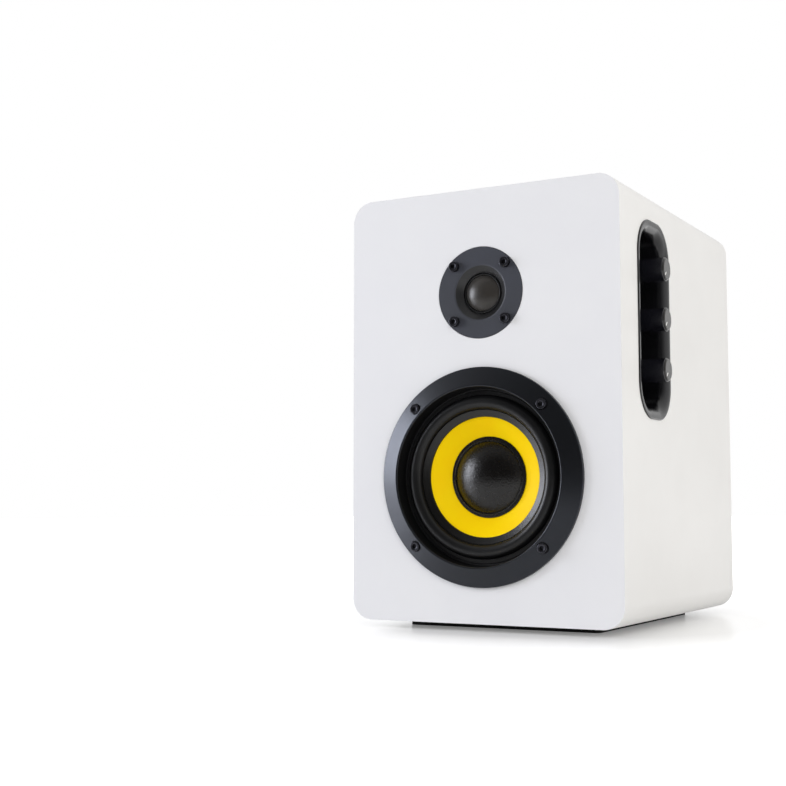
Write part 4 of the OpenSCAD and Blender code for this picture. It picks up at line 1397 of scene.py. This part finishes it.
@dataclass
class SideControls:
    """The recessed control panel and its three knobs. Heights over the side, in mm."""

    corner: float = 20.0
    lip_w: float = 7.0
    lip_cover: float = 3.0
    lip_h: float = 0.8
    tray_t: float = 2.0
    depth: float = 17.0
    floor_fillet: float = 2.5
    collar_h: float = 1.5
    collar_out: float = 1.2
    collar_in: float = 3.0
    knob_gap: float = 0.4
    knob_bore_r: float = 3.1
    knob_out: float = 8.1
    knob_rim: float = 0.5
    rim_h: float = 0.6
    groove_up: float = 3.2
    groove_w: float = 1.0
    groove_depth: float = 0.45
    cap_t: float = 1.5
    tick: tuple[float, float, float, float] = (2.6, 0.9, 0.3, 0.35)
    tick_turn: float = math.radians(-45.0)
    names: tuple[str, ...] = ("volume", "treble", "bass")

    def __post_init__(self) -> None:
        """Reads the panel's and the knobs' places from the frame."""
        self.centre = centre_of("control_bezel")
        self.side = high_of("cabinet_wrap").x
        self.place = facing_right(self.side, self.centre.y, self.centre.z)
        self.length, self.width = size_of("control_bezel").z, size_of("control_bezel").y
        self.knob_r = size_of("volume_knob").z / 2.0
        self.cap_r = self.knob_r - self.knob_rim
        self.cap_seat = self.knob_out - self.cap_t

    def build(self) -> None:
        """Makes the panel and its knobs."""
        self._bezel()
        for name in self.names:
            self._knob(name, self._drop(name))
            self._cap(name, self._drop(name))

    def _drop(self, name: str) -> float:
        """How far a knob's axis is below the panel's centre."""
        return self.centre.z - centre_of(f"{name}_knob").z

    def _bezel(self) -> None:
        """The gloss panel: a broad rounded lip that runs down into a dished tray."""
        roll = self.lip_w - 1.0
        fillet = [
            (self.lip_w + self.floor_fillet - x, z)
            for x, z in arc(
                (0.0, self.floor_fillet - self.depth), self.floor_fillet, 0, -90, 6
            )
        ]
        lip = [(1.0 - x, z) for x, z in arc((0.0, self.lip_h - roll), roll, 90, 180, 12)]
        profile = [
            (self.lip_cover, -self.depth - self.tray_t), (self.lip_cover, -0.05), (0.0, -0.05),
            (0.0, self.lip_h - 0.5), (0.15, self.lip_h - 0.15), (0.5, self.lip_h), *lip, *fillet,
        ]
        shape = spread(
            turned([(self.corner - inset, z) for inset, z in profile], steps=80),
            self.length / 2 - self.corner, self.width / 2 - self.corner,
        )
        inner_r, outer_r = self.knob_r - self.collar_in, self.knob_r + self.collar_out
        foot, top = -self.depth - 0.5, -self.depth + self.collar_h
        ring = rounded([
            (inner_r, foot, 0), (inner_r, top, 0), (outer_r, top, 0.5), (outer_r, foot, 0),
        ])
        collars = [moved(turned(ring, steps=64), (self._drop(name), 0, 0)) for name in self.names]
        Piece(
            "control_panel", joined(shape, *collars), self.place, [GLOSS_ABS], "gloss_bezel",
            ["control_bezel"],
        ).make()

    def _knob(self, name: str, drop: float) -> None:
        """One moulded knob.

        Args:
            name: the control's name.
            drop: how far its axis is below the panel's centre.
        """
        low = -self.depth + self.collar_h + self.knob_gap
        groove, past = low + self.groove_up, low + self.groove_up + self.groove_w
        r, groove_r, cup_r = self.knob_r, self.knob_r - self.groove_depth, self.cap_r + 0.1
        profile = rounded([
            (self.knob_bore_r, low, 0), (r, low, 0.4), (r, groove, 0.12),
            (groove_r, groove + 0.25, 0.1), (groove_r, past - 0.25, 0.1), (r, past, 0.12),
            (r, self.cap_seat + self.rim_h, 0.35), (cup_r, self.cap_seat + self.rim_h, 0.1),
            (cup_r, self.cap_seat, 0), (self.knob_bore_r, self.cap_seat, 0),
        ])
        knob = moved(turned(profile, steps=96, closed=True), (drop, 0, 0))
        Piece(
            f"{name}_knob_body", knob, self.place, [GLOSS_KNOB], "gloss_knob",
            [f"{name}_knob"], body=f"{name}_control",
        ).make()

    def _cap(self, name: str, drop: float) -> None:
        """One knob's end cap, with its pale pointer.

        Args:
            name: the control's name.
            drop: how far its axis is below the panel's centre.
        """
        low = self.cap_seat + 0.02
        cap = turned(rounded([
            (0.0, low, 0), (self.cap_r, low, 0), (self.cap_r, self.knob_out, 0.75),
            (0.0, self.knob_out - 0.05, 0),
        ], steps=8), steps=96)
        tick = painted(slab(*self.tick, edge=0.1, steps=4), 1)
        moved(tick, (self.cap_r - 2.1, 0, self.knob_out - 0.3))
        whole = moved(joined(cap, tick), (drop, 0, 0), Matrix.Rotation(self.tick_turn, 4, "Z"))
        Piece(
            f"{name}_cap_gloss", whole, self.place, [GLOSS_CAP, POINTER_WHITE], "knob_cap",
            [f"{name}_knob_cap"], body=f"{name}_control",
        ).make()


# ---- Rear ----

PLATE_T = 2.0  # the amplifier plate's thickness
FRAME_T = 2.0  # how far the fittings' flanges stand out of it


def on_plate(node: str) -> Matrix:
    """The place at a node's centre on the amplifier plate's outer face."""
    centre = centre_of(node)
    return facing_back(centre.x, low_of("amp_plate").y + PLATE_T, centre.z)


def housing(flange: Plate, body: Plate, depth: float, wells: Sequence[BMesh]) -> BMesh:
    """A flange and the cup behind it, cut by the same wells.

    Args:
        flange: its width, its height and the radius of its corners.
        body: the same three of the cup.
        depth: the cup's depth.
        wells: the cutters.

    Returns:
        The housing, seated on z = 0.
    """
    copies = [well.copy() for well in wells]
    front = carved(slab(*flange, FRAME_T, edge=0.6, steps=6), *copies)
    cup = carved(moved(slab(*body, depth), (0, 0, 0.1 - depth)), *wells)
    return joined(front, cup)


@dataclass
class MainsInlet:
    """The two-pin mains inlet, with its figure-of-eight well. Sizes in mm."""

    body: Plate = (26.0, 16.0, 1.0)
    flange: Plate = (31.0, 21.0, 3.0)
    depth: float = 18.0
    well_depth: float = 12.0
    well_r: float = 4.4
    waist: float = 7.2
    pin_pitch: float = 8.6
    pin_r: float = 1.2
    pin_back: float = 3.2

    def build(self) -> None:
        """Makes the moulding and its two nickelled pins."""
        floor, top = -self.well_depth, 2 * FRAME_T
        sides = (-self.pin_pitch / 2, self.pin_pitch / 2)
        bore = [(0, floor), (self.well_r, floor), (self.well_r, top), (0, top)]
        wells = [moved(turned(bore, steps=48), (side, 0, 0)) for side in sides]
        waist = slab(self.pin_pitch, self.waist, 0.4, top - floor, steps=3)
        wells.append(moved(waist, (0, 0, floor)))
        pin = rounded([
            (0, floor - 0.1, 0), (self.pin_r, floor - 0.1, 0),
            (self.pin_r, -self.pin_back, 0.9), (0, -self.pin_back, 0),
        ])
        pins = [painted(moved(turned(pin, steps=24), (side, 0, 0)), 1) for side in sides]
        moulding = housing(self.flange, self.body, self.depth, wells)
        Piece(
            "inlet_moulding", joined(moulding, *pins), on_plate("mains_inlet"),
            [BLACK_MOULDING, NICKEL], "black_moulding", ["mains_inlet"],
        ).make()


@dataclass
class PowerSwitch:
    """The rocker switch. Sizes in mm."""

    body: Plate = (19.0, 13.0, 0.5)
    flange: Plate = (22.0, 16.0, 2.0)
    depth: float = 15.0
    gap: float = 0.3
    rocker_r: float = 5.2
    rocker_w: float = 15.4
    tilt: float = math.radians(8.0)
    lip: float = 4.0
    half_v: float = 3.3
    v_floor: float = 2.4

    def build(self) -> None:
        """Makes the frame and the rocker in it."""
        self._frame()
        self._rocker()

    def _frame(self) -> None:
        """The frame, with a well that the rocker tips in."""
        r = self.rocker_r + self.gap
        well = slab(self.rocker_w + 2 * self.gap, 2 * r, 0.3, 12.0, steps=3)
        moved(well, (0, 0, -r - 0.1))
        Piece(
            "switch_frame", housing(self.flange, self.body, self.depth, [well]),
            on_plate("power_switch_body"), [BLACK_MOULDING], "black_moulding",
            ["power_switch_body"],
        ).make()

    def _rocker(self) -> None:
        """The rocker: a drum with a shallow V for the finger, tipped to OFF."""
        edge = math.degrees(math.asin(self.lip / self.rocker_r))
        drum = arc((0.0, 0.0), self.rocker_r, edge, -180 - edge, 40)
        dip = rounded([
            (-self.half_v, self.lip, 0), (0.0, self.v_floor, 2.5), (self.half_v, self.lip, 0),
        ], steps=6)
        bar = lying_bar(drum + dip[1:-1], self.rocker_w, 0.4)
        Piece(
            "rocker_cap", moved(bar, turn=Matrix.Rotation(self.tilt, 4, "X")),
            on_plate("power_switch_body"), [GLOSS_KNOB], "rocker_black", ["power_rocker"],
            body="rocker",
        ).make()


@dataclass
class LineSockets:
    """Two line sockets: coloured collars round nickel barrels. Sizes in mm."""

    body: Plate = (12.0, 30.0, 0.5)
    flange: Plate = (15.0, 33.0, 1.5)
    flange_t: float = 1.5
    depth: float = 20.0
    pitch: float = 16.0
    barrel_r: float = 4.15
    barrel_out: float = 9.5
    bore_r: float = 1.65
    core_r: float = 2.9
    foot: float = 1.4
    collar_w: float = 2.0
    collar_top: float = 2.1

    def build(self) -> None:
        """Makes the block with both sockets: red for the right channel, white for the left."""
        r, foot, top, out = self.barrel_r, self.foot, self.collar_top, self.barrel_out
        parts = [
            slab(*self.flange, self.flange_t, edge=0.4, steps=6),
            moved(slab(*self.body, self.depth), (0, 0, -self.depth)),
        ]
        for k, side in enumerate((-1, 1)):
            collar = turned(rounded([
                (r, foot, 0), (r + self.collar_w, foot, 0), (r + self.collar_w, top, 0.3),
                (r, top, 0),
            ]), steps=48, closed=True)
            barrel = turned(rounded([
                (0.0, 3.0, 0), (self.bore_r, 3.0, 0), (self.bore_r, out - 0.1, 0.15),
                (r - 0.6, out, 0.4), (r, out - 0.4, 0.3), (r, foot, 0), (0.0, foot, 0),
            ]), steps=48)
            core_in = self.bore_r + 0.05
            core = turned(rounded([
                (core_in, out - 0.3, 0), (self.core_r, out - 0.3, 0),
                (self.core_r, out + 0.08, 0.1), (core_in, out + 0.08, 0.1),
                (core_in, out - 0.3, 0),
            ]), steps=48)
            parts += [
                moved(part, (0, side * self.pitch / 2, 0))
                for part in (painted(collar, 2 + k), painted(barrel, 1), core)
            ]
        Piece(
            "line_sockets", joined(*parts), on_plate("rca_jacks"),
            [BLACK_MOULDING, NICKEL, COLLAR_RED, COLLAR_WHITE], "black_moulding", ["rca_jacks"],
        ).make()


@dataclass
class SpeakerTerminals:
    """The spring-lever block for the second speaker's lead. Sizes in mm."""

    width: float = 44.0
    height: float = 26.0
    out: float = 9.0
    depth: float = 20.0
    back_inset: float = 5.0
    pitch: float = 22.0
    well: tuple[float, float, float] = (13.6, 18.0, 1.5)
    wire_r: float = 1.7
    wire_down: float = 10.2
    lever_w: float = 13.0
    lever_up: float = 6.0
    lever_out: float = 5.0
    pin_r: float = 1.05

    def build(self) -> None:
        """Makes the block and its two levers: red on the left and black on the right."""
        self._block()
        self._lever("red", -self.pitch / 2, LEVER_RED, "lever_red")
        self._lever("black", self.pitch / 2, GLOSS_KNOB, "rocker_black")

    def _block(self) -> None:
        """The block, with its lever wells and its wire holes."""
        well_w, well_h, well_up = self.well
        hole, mouth, top = self.wire_r, self.wire_r + 0.5, self.out + 2.0
        bore = [
            (0, 0.05), (hole, 0.05), (hole, self.out - 0.4), (mouth, self.out + 0.1),
            (mouth, top), (0, top),
        ]
        wells = []
        for side in (-self.pitch / 2, self.pitch / 2):
            wells += [
                moved(slab(well_w, well_h, 0.4, self.out, steps=3), (side, well_up, well_up)),
                moved(turned(bore, steps=32), (side, -self.wire_down, 0)),
            ]
        block = carved(slab(self.width, self.height, 2.0, self.out, edge=0.7, steps=6), *wells)
        back = slab(self.width - self.back_inset, self.height - self.back_inset, 1.0, self.depth)
        moved(back, (0, 0, -self.depth))
        Piece(
            "lever_block", joined(block, back), on_plate("speaker_terminal_block"),
            [BLACK_MOULDING], "black_moulding", ["speaker_terminal_block"],
        ).make()

    def _lever(self, colour: str, side: float, finish: Finish, slot: str) -> None:
        """One push lever on its pin.

        Args:
            colour: "red" or "black".
            side: where it stands, along the plate.
            finish: its moulding.
            slot: its material slot.
        """
        outline = rounded([
            (0.0, -1.2, 0), (2.6, -1.2, 1.2), (2.6, 2.6, 2.4), (0.0, 2.6, 0),
            (-10.5, 5.8, 1.5), (-12.3, 5.2, 0.5), (-12.3, 3.0, 0.4), (-10.0, 2.4, 0.6),
            (-3.0, -1.2, 1.0), (0.0, -1.2, 0),
        ])[:-1]
        lever = lying_bar(outline, self.lever_w, 0.35, self.pin_r)
        Piece(
            f"{colour}_lever_grip", moved(lever, (side, self.lever_up, self.lever_out)),
            on_plate("speaker_terminal_block"), [finish], slot, [f"terminal_lever_{colour}"],
            body=f"{colour}_lever",
        ).make()


@dataclass
class AmplifierPlate:
    """The anodised plate, with its screws and its printed marks. Sizes in mm."""

    corner: float = 4.0
    edge: float = 0.4
    gap: float = 0.3
    openings: tuple[tuple[str, Plate], ...] = (
        ("mains_inlet", MainsInlet.body), ("power_switch_body", PowerSwitch.body),
    )
    screw_inset: float = 4.0
    screws: ScrewSet = ScrewSet(
        "plate_pan_screws", "amp_plate_screws", PanScrew(), 12.0, 0.0, 0.5
    )
    ink: float = 0.02
    marks: tuple[tuple[str, str, Point, float], ...] = (
        ("ON", "power_switch_body", (-15.0, 4.0), 3.2),
        ("OFF", "power_switch_body", (-15.6, -4.4), 3.2),
        ("R", "rca_jacks", (11.0, -8.0), 4.0),
        ("L", "rca_jacks", (11.0, 8.0), 4.0),
        ("+", "speaker_terminal_block", (-11.0, -19.0), 6.0),
        ("-", "speaker_terminal_block", (11.0, -19.0), 6.0),
    )

    def __post_init__(self) -> None:
        """Reads the plate's size and place from the frame."""
        size = size_of("amp_plate")
        self.width, self.height = size.x, size.z
        self.place = on_plate("amp_plate")

    def build(self) -> None:
        """Makes the plate, its screws and its marks."""
        self._plate()
        inset = self.screw_inset
        self.screws.make(
            self.place, corner_places(self.width / 2 - inset, self.height / 2 - inset)
        )
        self._marks()

    def _seat(self, node: str) -> Vector:
        """Where a node's centre lies on the plate: to the right and up, seen from behind."""
        return self.place.inverted() @ on_plate(node).translation

    def _plate(self) -> None:
        """The brushed plate, with its rounded corners and its openings."""
        plate = slab(self.width, self.height, self.corner, PLATE_T, edge=self.edge)
        moved(plate, (0, 0, -PLATE_T))
        cutters = [
            moved(
                slab(width + self.gap, height + self.gap, self.gap, 3 * PLATE_T, steps=3),
                self._seat(node) - Vector((0, 0, 2 * PLATE_T)),
            )
            for node, (width, height, _) in self.openings
        ]
        Piece(
            "amplifier_plate", carved(plate, *cutters), self.place, [ANODISED],
            "anodised_plate", ["amp_plate"],
        ).make()

    def _marks(self) -> None:
        """The printed marks: plain words and signs, a hair above the plate's face."""
        shapes = []
        for words, node, offset, size in self.marks:
            curve = bpy.data.curves.new("mark", "FONT")
            curve.body, curve.size, curve.extrude = words, size, self.ink
            curve.align_x, curve.align_y = "CENTER", "CENTER"
            lettering = bpy.data.objects.new("mark", curve)
            bpy.context.scene.collection.objects.link(lettering)
            graph = bpy.context.evaluated_depsgraph_get()
            flat = bpy.data.meshes.new_from_object(lettering.evaluated_get(graph))
            shape = bmesh.new()
            shape.from_mesh(flat)
            bpy.data.objects.remove(lettering)
            bpy.data.curves.remove(curve)
            bpy.data.meshes.remove(flat)
            shapes.append(moved(shape, self._seat(node) + Vector((*offset, 0.03))))
        Piece(
            "plate_marks", joined(*shapes), self.place, [MARK_PRINT], "anodised_plate"
        ).make()


@dataclass
class BassPort:
    """The bass port: a flared mouth, its lip and the tube behind it. Sizes in mm."""

    flare: float = 8.0
    flare_depth: float = 12.0
    wall: float = 2.0
    lip: float = 3.0

    def build(self) -> None:
        """Makes the port in one turned piece."""
        centre, low = centre_of("port_tube"), low_of("port_tube")
        rear = low_of("amp_plate").y
        lip_r, top, end = centre.x - low.x, PLATE_T, low.y - rear
        neck_r = lip_r - self.lip
        bore_r, waist = neck_r - self.flare, -self.flare_depth
        outer_r = bore_r + self.wall
        profile = (
            [(bore_r, end), (bore_r, waist - 2.0)]
            + arc((neck_r, top - self.flare), self.flare, 180, 90, 16)
            + rounded([
                (lip_r - 2.0, top, 0), (lip_r, top, 1.2), (lip_r, 0.02, 0), (neck_r, 0.02, 0),
                (neck_r, waist, 0), (outer_r, waist, 0), (outer_r, end, 0),
            ], steps=6)
        )
        Piece(
            "port_mouth", turned(profile, steps=144, closed=True),
            facing_back(centre.x, rear, centre.z), [PORT_MOULDING], "port_plastic",
            ["port_tube"],
        ).make()


# ---- Inner parts ----

PINE = Finish(
    # Sawn pine battens: pale, with darker grain along their length
    "sawn_pine", "#C9A877", "#B08D5C", 0.65, relief=Relief.BRUSHED, grain=1.2,
    relief_depth=0.08, stretch=(1.0, 0.05, 1.0), mottle=4.0,
)
FELT = Finish(
    # Needled polyester felt: soft grey fibres
    "needled_felt", "#6E6C68", "#5A5855", 0.95, grain=0.8, relief_depth=0.3, mottle=5.0,
    sheen=0.4,
)
FOAM = Finish(
    # Closed-cell gasket foam
    "closed_cell_foam", "#222222", "#2B2B2B", 0.85, relief=Relief.PEBBLED, grain=0.6,
    relief_depth=0.05,
)
POLYIMIDE_FILM = Finish(
    # Amber polyimide film of the coil's former
    "amber_polyimide", "#A9702A", "#955F20", 0.2, grain=1.0, relief_depth=0.003,
)
COPPER = Finish(
    # Enamelled copper wire, wound in close turns
    "enamelled_copper", "#B4693C", "#98522B", 0.3, relief=Relief.BRUSHED, grain=0.3,
    relief_depth=0.05, stretch=(0.05, 1.0, 0.05), metallic=0.9, mottle=3.0,
)
SPIDER_CLOTH = Finish(
    # Resin-set cotton cloth: tan, with its weave showing
    "resin_set_cloth", "#B8924A", "#A07C3A", 0.8, relief=Relief.WOVEN, grain=0.7,
    relief_depth=0.08, mottle=5.0,
)
ZINC_STEEL = Finish(
    # Bright zinc plate on turned or pressed steel
    "zinc_plated_steel", "#9C9EA2", "#8A8C90", 0.35, metallic=1.0, grain=0.5,
    relief_depth=0.006, mottle=6.0,
)
FERRITE = Finish(
    # Sintered ferrite: dark grey and slightly rough
    "sintered_ferrite", "#2B2A2C", "#222123", 0.6, grain=0.5, relief_depth=0.03, mottle=8.0,
)
TAG_BOARD = Finish(
    # Phenolic tag board
    "phenolic_board", "#7A4A22", "#66401D", 0.45, grain=0.5, relief_depth=0.02,
)
FILM_WRAP = Finish(
    # Yellow polyester wrap of the film capacitor
    "polyester_film_wrap", "#C9A227", "#B8921F", 0.25, grain=2.0, relief_depth=0.01,
)
CIRCUIT_BOARD = Finish(
    # Green solder mask over copper tracks
    "green_solder_mask", "#1E4A2A", "#28603A", 0.3, relief=Relief.WOVEN, grain=2.5,
    relief_depth=0.03, mottle=3.0,
)
BARE_ALUMINIUM = Finish(
    # Extruded aluminium with fine die lines
    "extruded_aluminium", "#B4B6B9", "#A3A5A8", 0.35, relief=Relief.BRUSHED, grain=0.4,
    relief_depth=0.01, stretch=(1.0, 1.0, 0.05), metallic=1.0,
)
LAMINATIONS = Finish(
    # Varnished core plates, stacked from front to back
    "varnished_laminations", "#4A4C52", "#3B3D43", 0.45, relief=Relief.BRUSHED, grain=0.6,
    relief_depth=0.08, stretch=(0.02, 1.0, 0.02), metallic=0.6,
)
WINDING_TAPE = Finish(
    # Yellow polyester tape over the winding
    "winding_tape", "#C8A63A", "#B4922B", 0.3, relief=Relief.BRUSHED, grain=3.0,
    relief_depth=0.05, stretch=(0.1, 0.1, 1.0),
)
CAPACITOR_SLEEVE = Finish(
    # Shrunk vinyl sleeve of the capacitors
    "shrunk_vinyl_sleeve", "#1B1F33", "#15182A", 0.3, grain=2.0, relief_depth=0.01,
)
LEAD_RED = Finish(
    # Red silicone insulation
    "red_silicone", "#8C1D1D", "#7A1818", 0.5, grain=0.5, relief_depth=0.01,
)
LEAD_BLACK = Finish(
    # Black silicone insulation
    "black_silicone", "#1A1A1A", "#222222", 0.5, grain=0.5, relief_depth=0.01,
)

INNER_FINISHES: dict[str, Finish] = {
    "corner_battens": PINE,
    "damping_pad": FELT,
    "woofer_basket": POWDER_COAT,
    "woofer_gasket": FOAM,
    "woofer_coil_former": POLYIMIDE_FILM,
    "woofer_voice_coil": COPPER,
    "woofer_top_plate": ZINC_STEEL,
    "woofer_magnet": FERRITE,
    "woofer_back_plate": ZINC_STEEL,
    "woofer_terminals": TAG_BOARD,
    "tweeter_voice_coil": COPPER,
    "tweeter_top_plate": ZINC_STEEL,
    "tweeter_magnet": FERRITE,
    "tweeter_back_plate": ZINC_STEEL,
    "tweeter_capacitor": FILM_WRAP,
    "volume_shaft": ZINC_STEEL,
    "treble_shaft": ZINC_STEEL,
    "bass_shaft": ZINC_STEEL,
    "potentiometers": ZINC_STEEL,
    "control_board": CIRCUIT_BOARD,
    "amp_board": CIRCUIT_BOARD,
    "heatsink": BARE_ALUMINIUM,
    "transformer_core": LAMINATIONS,
    "transformer_winding": WINDING_TAPE,
    "capacitors": CAPACITOR_SLEEVE,
    "woofer_leads": LEAD_RED,
    "tweeter_leads": LEAD_BLACK,
}


def dress_inner_parts() -> None:
    """Gives every CAD solid that stays its own finish."""
    for node, finish in INNER_FINISHES.items():
        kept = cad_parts[node]
        kept.data.materials.clear()
        kept.data.materials.append(finish.material())
        LOG.info("%s: kept, dressed in %s", node, finish.name)


# ---- Studio ----


@dataclass(frozen=True)
class SoftBox:
    """A square lamp. Places in metres, power in watts.

    mirrored tells whether the lamp shows in reflections.
    """

    name: str
    place: tuple[float, float, float]
    aim: tuple[float, float, float]
    size: float
    power: float
    colour: str
    mirrored: bool = True

    def light(self) -> None:
        """Adds the lamp to the scene."""
        lamp = bpy.data.lights.new(self.name, "AREA")
        lamp.shape, lamp.size, lamp.energy = "SQUARE", self.size, self.power
        lamp.color = linear(self.colour)[:3]
        holder = bpy.data.objects.new(self.name, lamp)
        holder.location = self.place
        holder.visible_glossy = self.mirrored
        aim = Vector(self.aim) - Vector(self.place)
        holder.rotation_euler = aim.to_track_quat("-Z", "Y").to_euler()
        bpy.context.scene.collection.objects.link(holder)


@dataclass
class Studio:
    """The camera, the floor, the world and the lamps. Places in metres, turns in radians.

    The floor glows near_glow inside shade_r and far_glow from reach on, so that it shows white
    round the speaker's shadow; in reflections the glow rises more slowly, up to mirrored_reach.
    """

    eye: tuple[float, float, float] = (0.3163, -0.7545, 0.0652)
    yaw: float = 0.5149
    pitch: float = 0.0858
    lens: float = 61.83
    floor_size: float = 12.0
    floor_edge: float = -0.55
    near_glow: float = 0.16
    far_glow: float = 1.0
    shade_r: float = 0.12
    reach: float = 0.4
    mirrored_reach: float = 1.2
    world_strength: float = 0.44
    dark_side: float = 0.07
    soft_boxes: tuple[SoftBox, ...] = (
        SoftBox("left_key", (-1.35, -0.67, 0.38), (0.0, -0.11, 0.09), 0.65, 13.0, "#F2F5FF"),
        SoftBox("front", (0.7, -1.2, 0.6), (0.0, 0.0, 0.1), 1.2, 8.0, "#FFFEFC", mirrored=False),
        SoftBox("right", (1.5, -0.1, 0.5), (0.05, 0.0, 0.12), 1.2, 7.8, "#FFFCF8", mirrored=False),
    )

    def build(self) -> None:
        """Sets up the whole studio."""
        self._camera()
        self._floor()
        self._world()
        for box in self.soft_boxes:
            box.light()
        bpy.context.scene.view_settings.view_transform = "Standard"

    def _camera(self) -> None:
        """The camera: low and to the right of the speaker."""
        lens = bpy.data.cameras.new("camera")
        lens.lens, lens.sensor_width, lens.clip_start = self.lens, 36.0, 0.01
        camera = bpy.data.objects.new("camera", lens)
        camera.location = self.eye
        camera.rotation_euler = (QUARTER + self.pitch, 0.0, self.yaw)
        bpy.context.scene.collection.objects.link(camera)
        bpy.context.scene.camera = camera

    def _floor(self) -> None:
        """A pale floor that shows white to the eye and keeps the speaker's shadow.

        It ends below the camera, so that reflections see the dim room in front of it.
        """
        shape = bmesh.new()
        half = self.floor_size / 2
        bmesh.ops.create_grid(shape, x_segments=1, y_segments=1, size=half)
        bmesh.ops.translate(shape, verts=shape.verts, vec=(0.0, self.floor_edge + half, 0.0))
        mesh = bpy.data.meshes.new("floor")
        shape.to_mesh(mesh)
        shape.free()
        floor = bpy.data.objects.new("floor", mesh)
        bpy.context.scene.collection.objects.link(floor)
        paint = bpy.data.materials.new("pale_floor")
        paint.use_nodes = True
        tree = paint.node_tree
        tree.nodes.clear()
        rays = add_node(tree, "ShaderNodeLightPath").outputs
        seen = add_node(
            tree, "ShaderNodeMath", {"operation": "MAXIMUM"},
            {0: rays["Is Camera Ray"], 1: rays["Is Glossy Ray"]},
        ).outputs["Value"]
        place = add_node(tree, "ShaderNodeTexCoord").outputs["Object"]
        away = add_node(
            tree, "ShaderNodeVectorMath", {"operation": "LENGTH"}, {0: place}
        ).outputs["Value"]
        reach = add_node(
            tree, "ShaderNodeMix", {"data_type": "FLOAT", 2: self.mirrored_reach, 3: self.reach},
            {0: rays["Is Camera Ray"]},
        ).outputs[0]
        rising = add_node(
            tree, "ShaderNodeMapRange",
            {"From Min": self.shade_r, "To Min": self.near_glow, "To Max": self.far_glow},
            {"Value": away, "From Max": reach},
        ).outputs["Result"]
        glow = add_node(
            tree, "ShaderNodeMath", {"operation": "MULTIPLY"}, {0: seen, 1: rising}
        ).outputs["Value"]
        body = add_node(
            tree, "ShaderNodeBsdfPrincipled",
            {"Base Color": linear("#F4F4F4"), "Roughness": 0.2, "Specular IOR Level": 0.35},
        ).outputs["BSDF"]
        light = add_node(
            tree, "ShaderNodeEmission", {"Color": (1, 1, 1, 1)}, {"Strength": glow}
        ).outputs["Emission"]
        both = add_node(tree, "ShaderNodeAddShader", None, {0: body, 1: light}).outputs["Shader"]
        add_node(tree, "ShaderNodeOutputMaterial", None, {"Surface": both})
        mesh.materials.append(paint)

    def _world(self) -> None:
        """A white backdrop, in view and in reflections, and an even light from all round.

        Reflections see a dimmer room on the side that the camera stands on.
        """
        world = bpy.data.worlds.new("studio")
        bpy.context.scene.world = world
        world.use_nodes = True
        tree = world.node_tree
        tree.nodes.clear()
        rays = add_node(tree, "ShaderNodeLightPath").outputs
        direction = add_node(tree, "ShaderNodeTexCoord").outputs["Generated"]
        ahead = add_node(tree, "ShaderNodeSeparateXYZ", None, {"Vector": direction}).outputs["Y"]
        room = add_node(
            tree, "ShaderNodeMapRange",
            {"From Min": -0.8, "From Max": 0.0, "To Min": self.dark_side, "To Max": 1.0},
            {"Value": ahead},
        ).outputs["Result"]
        mirrored = add_node(
            tree, "ShaderNodeMath", {"operation": "MAXIMUM"},
            {0: rays["Is Glossy Ray"], 1: rays["Is Transmission Ray"]},
        ).outputs["Value"]
        unseen = add_node(
            tree, "ShaderNodeMix", {"data_type": "FLOAT", 2: self.world_strength},
            {0: mirrored, 3: room},
        ).outputs[0]
        strength = add_node(
            tree, "ShaderNodeMix", {"data_type": "FLOAT", 3: 1.0},
            {0: rays["Is Camera Ray"], 2: unseen},
        ).outputs[0]
        light = add_node(
            tree, "ShaderNodeBackground", {"Color": (1, 1, 1, 1)}, {"Strength": strength}
        ).outputs["Background"]
        add_node(tree, "ShaderNodeOutputWorld", None, {"Surface": light})


def main() -> None:
    """Builds the studio and then the speaker, sub-assembly by sub-assembly."""
    logging.basicConfig(level=logging.INFO, format="%(name)s: %(message)s")
    parts = (
        Studio(), Cabinet(), Woofer(), Tweeter(), SideControls(), AmplifierPlate(),
        MainsInlet(), PowerSwitch(), LineSockets(), SpeakerTerminals(), BassPort(),
    )
    for part in parts:
        LOG.info("building %s", type(part).__name__)
        part.build()
    dress_inner_parts()


if __name__ == "__main__":
    main()
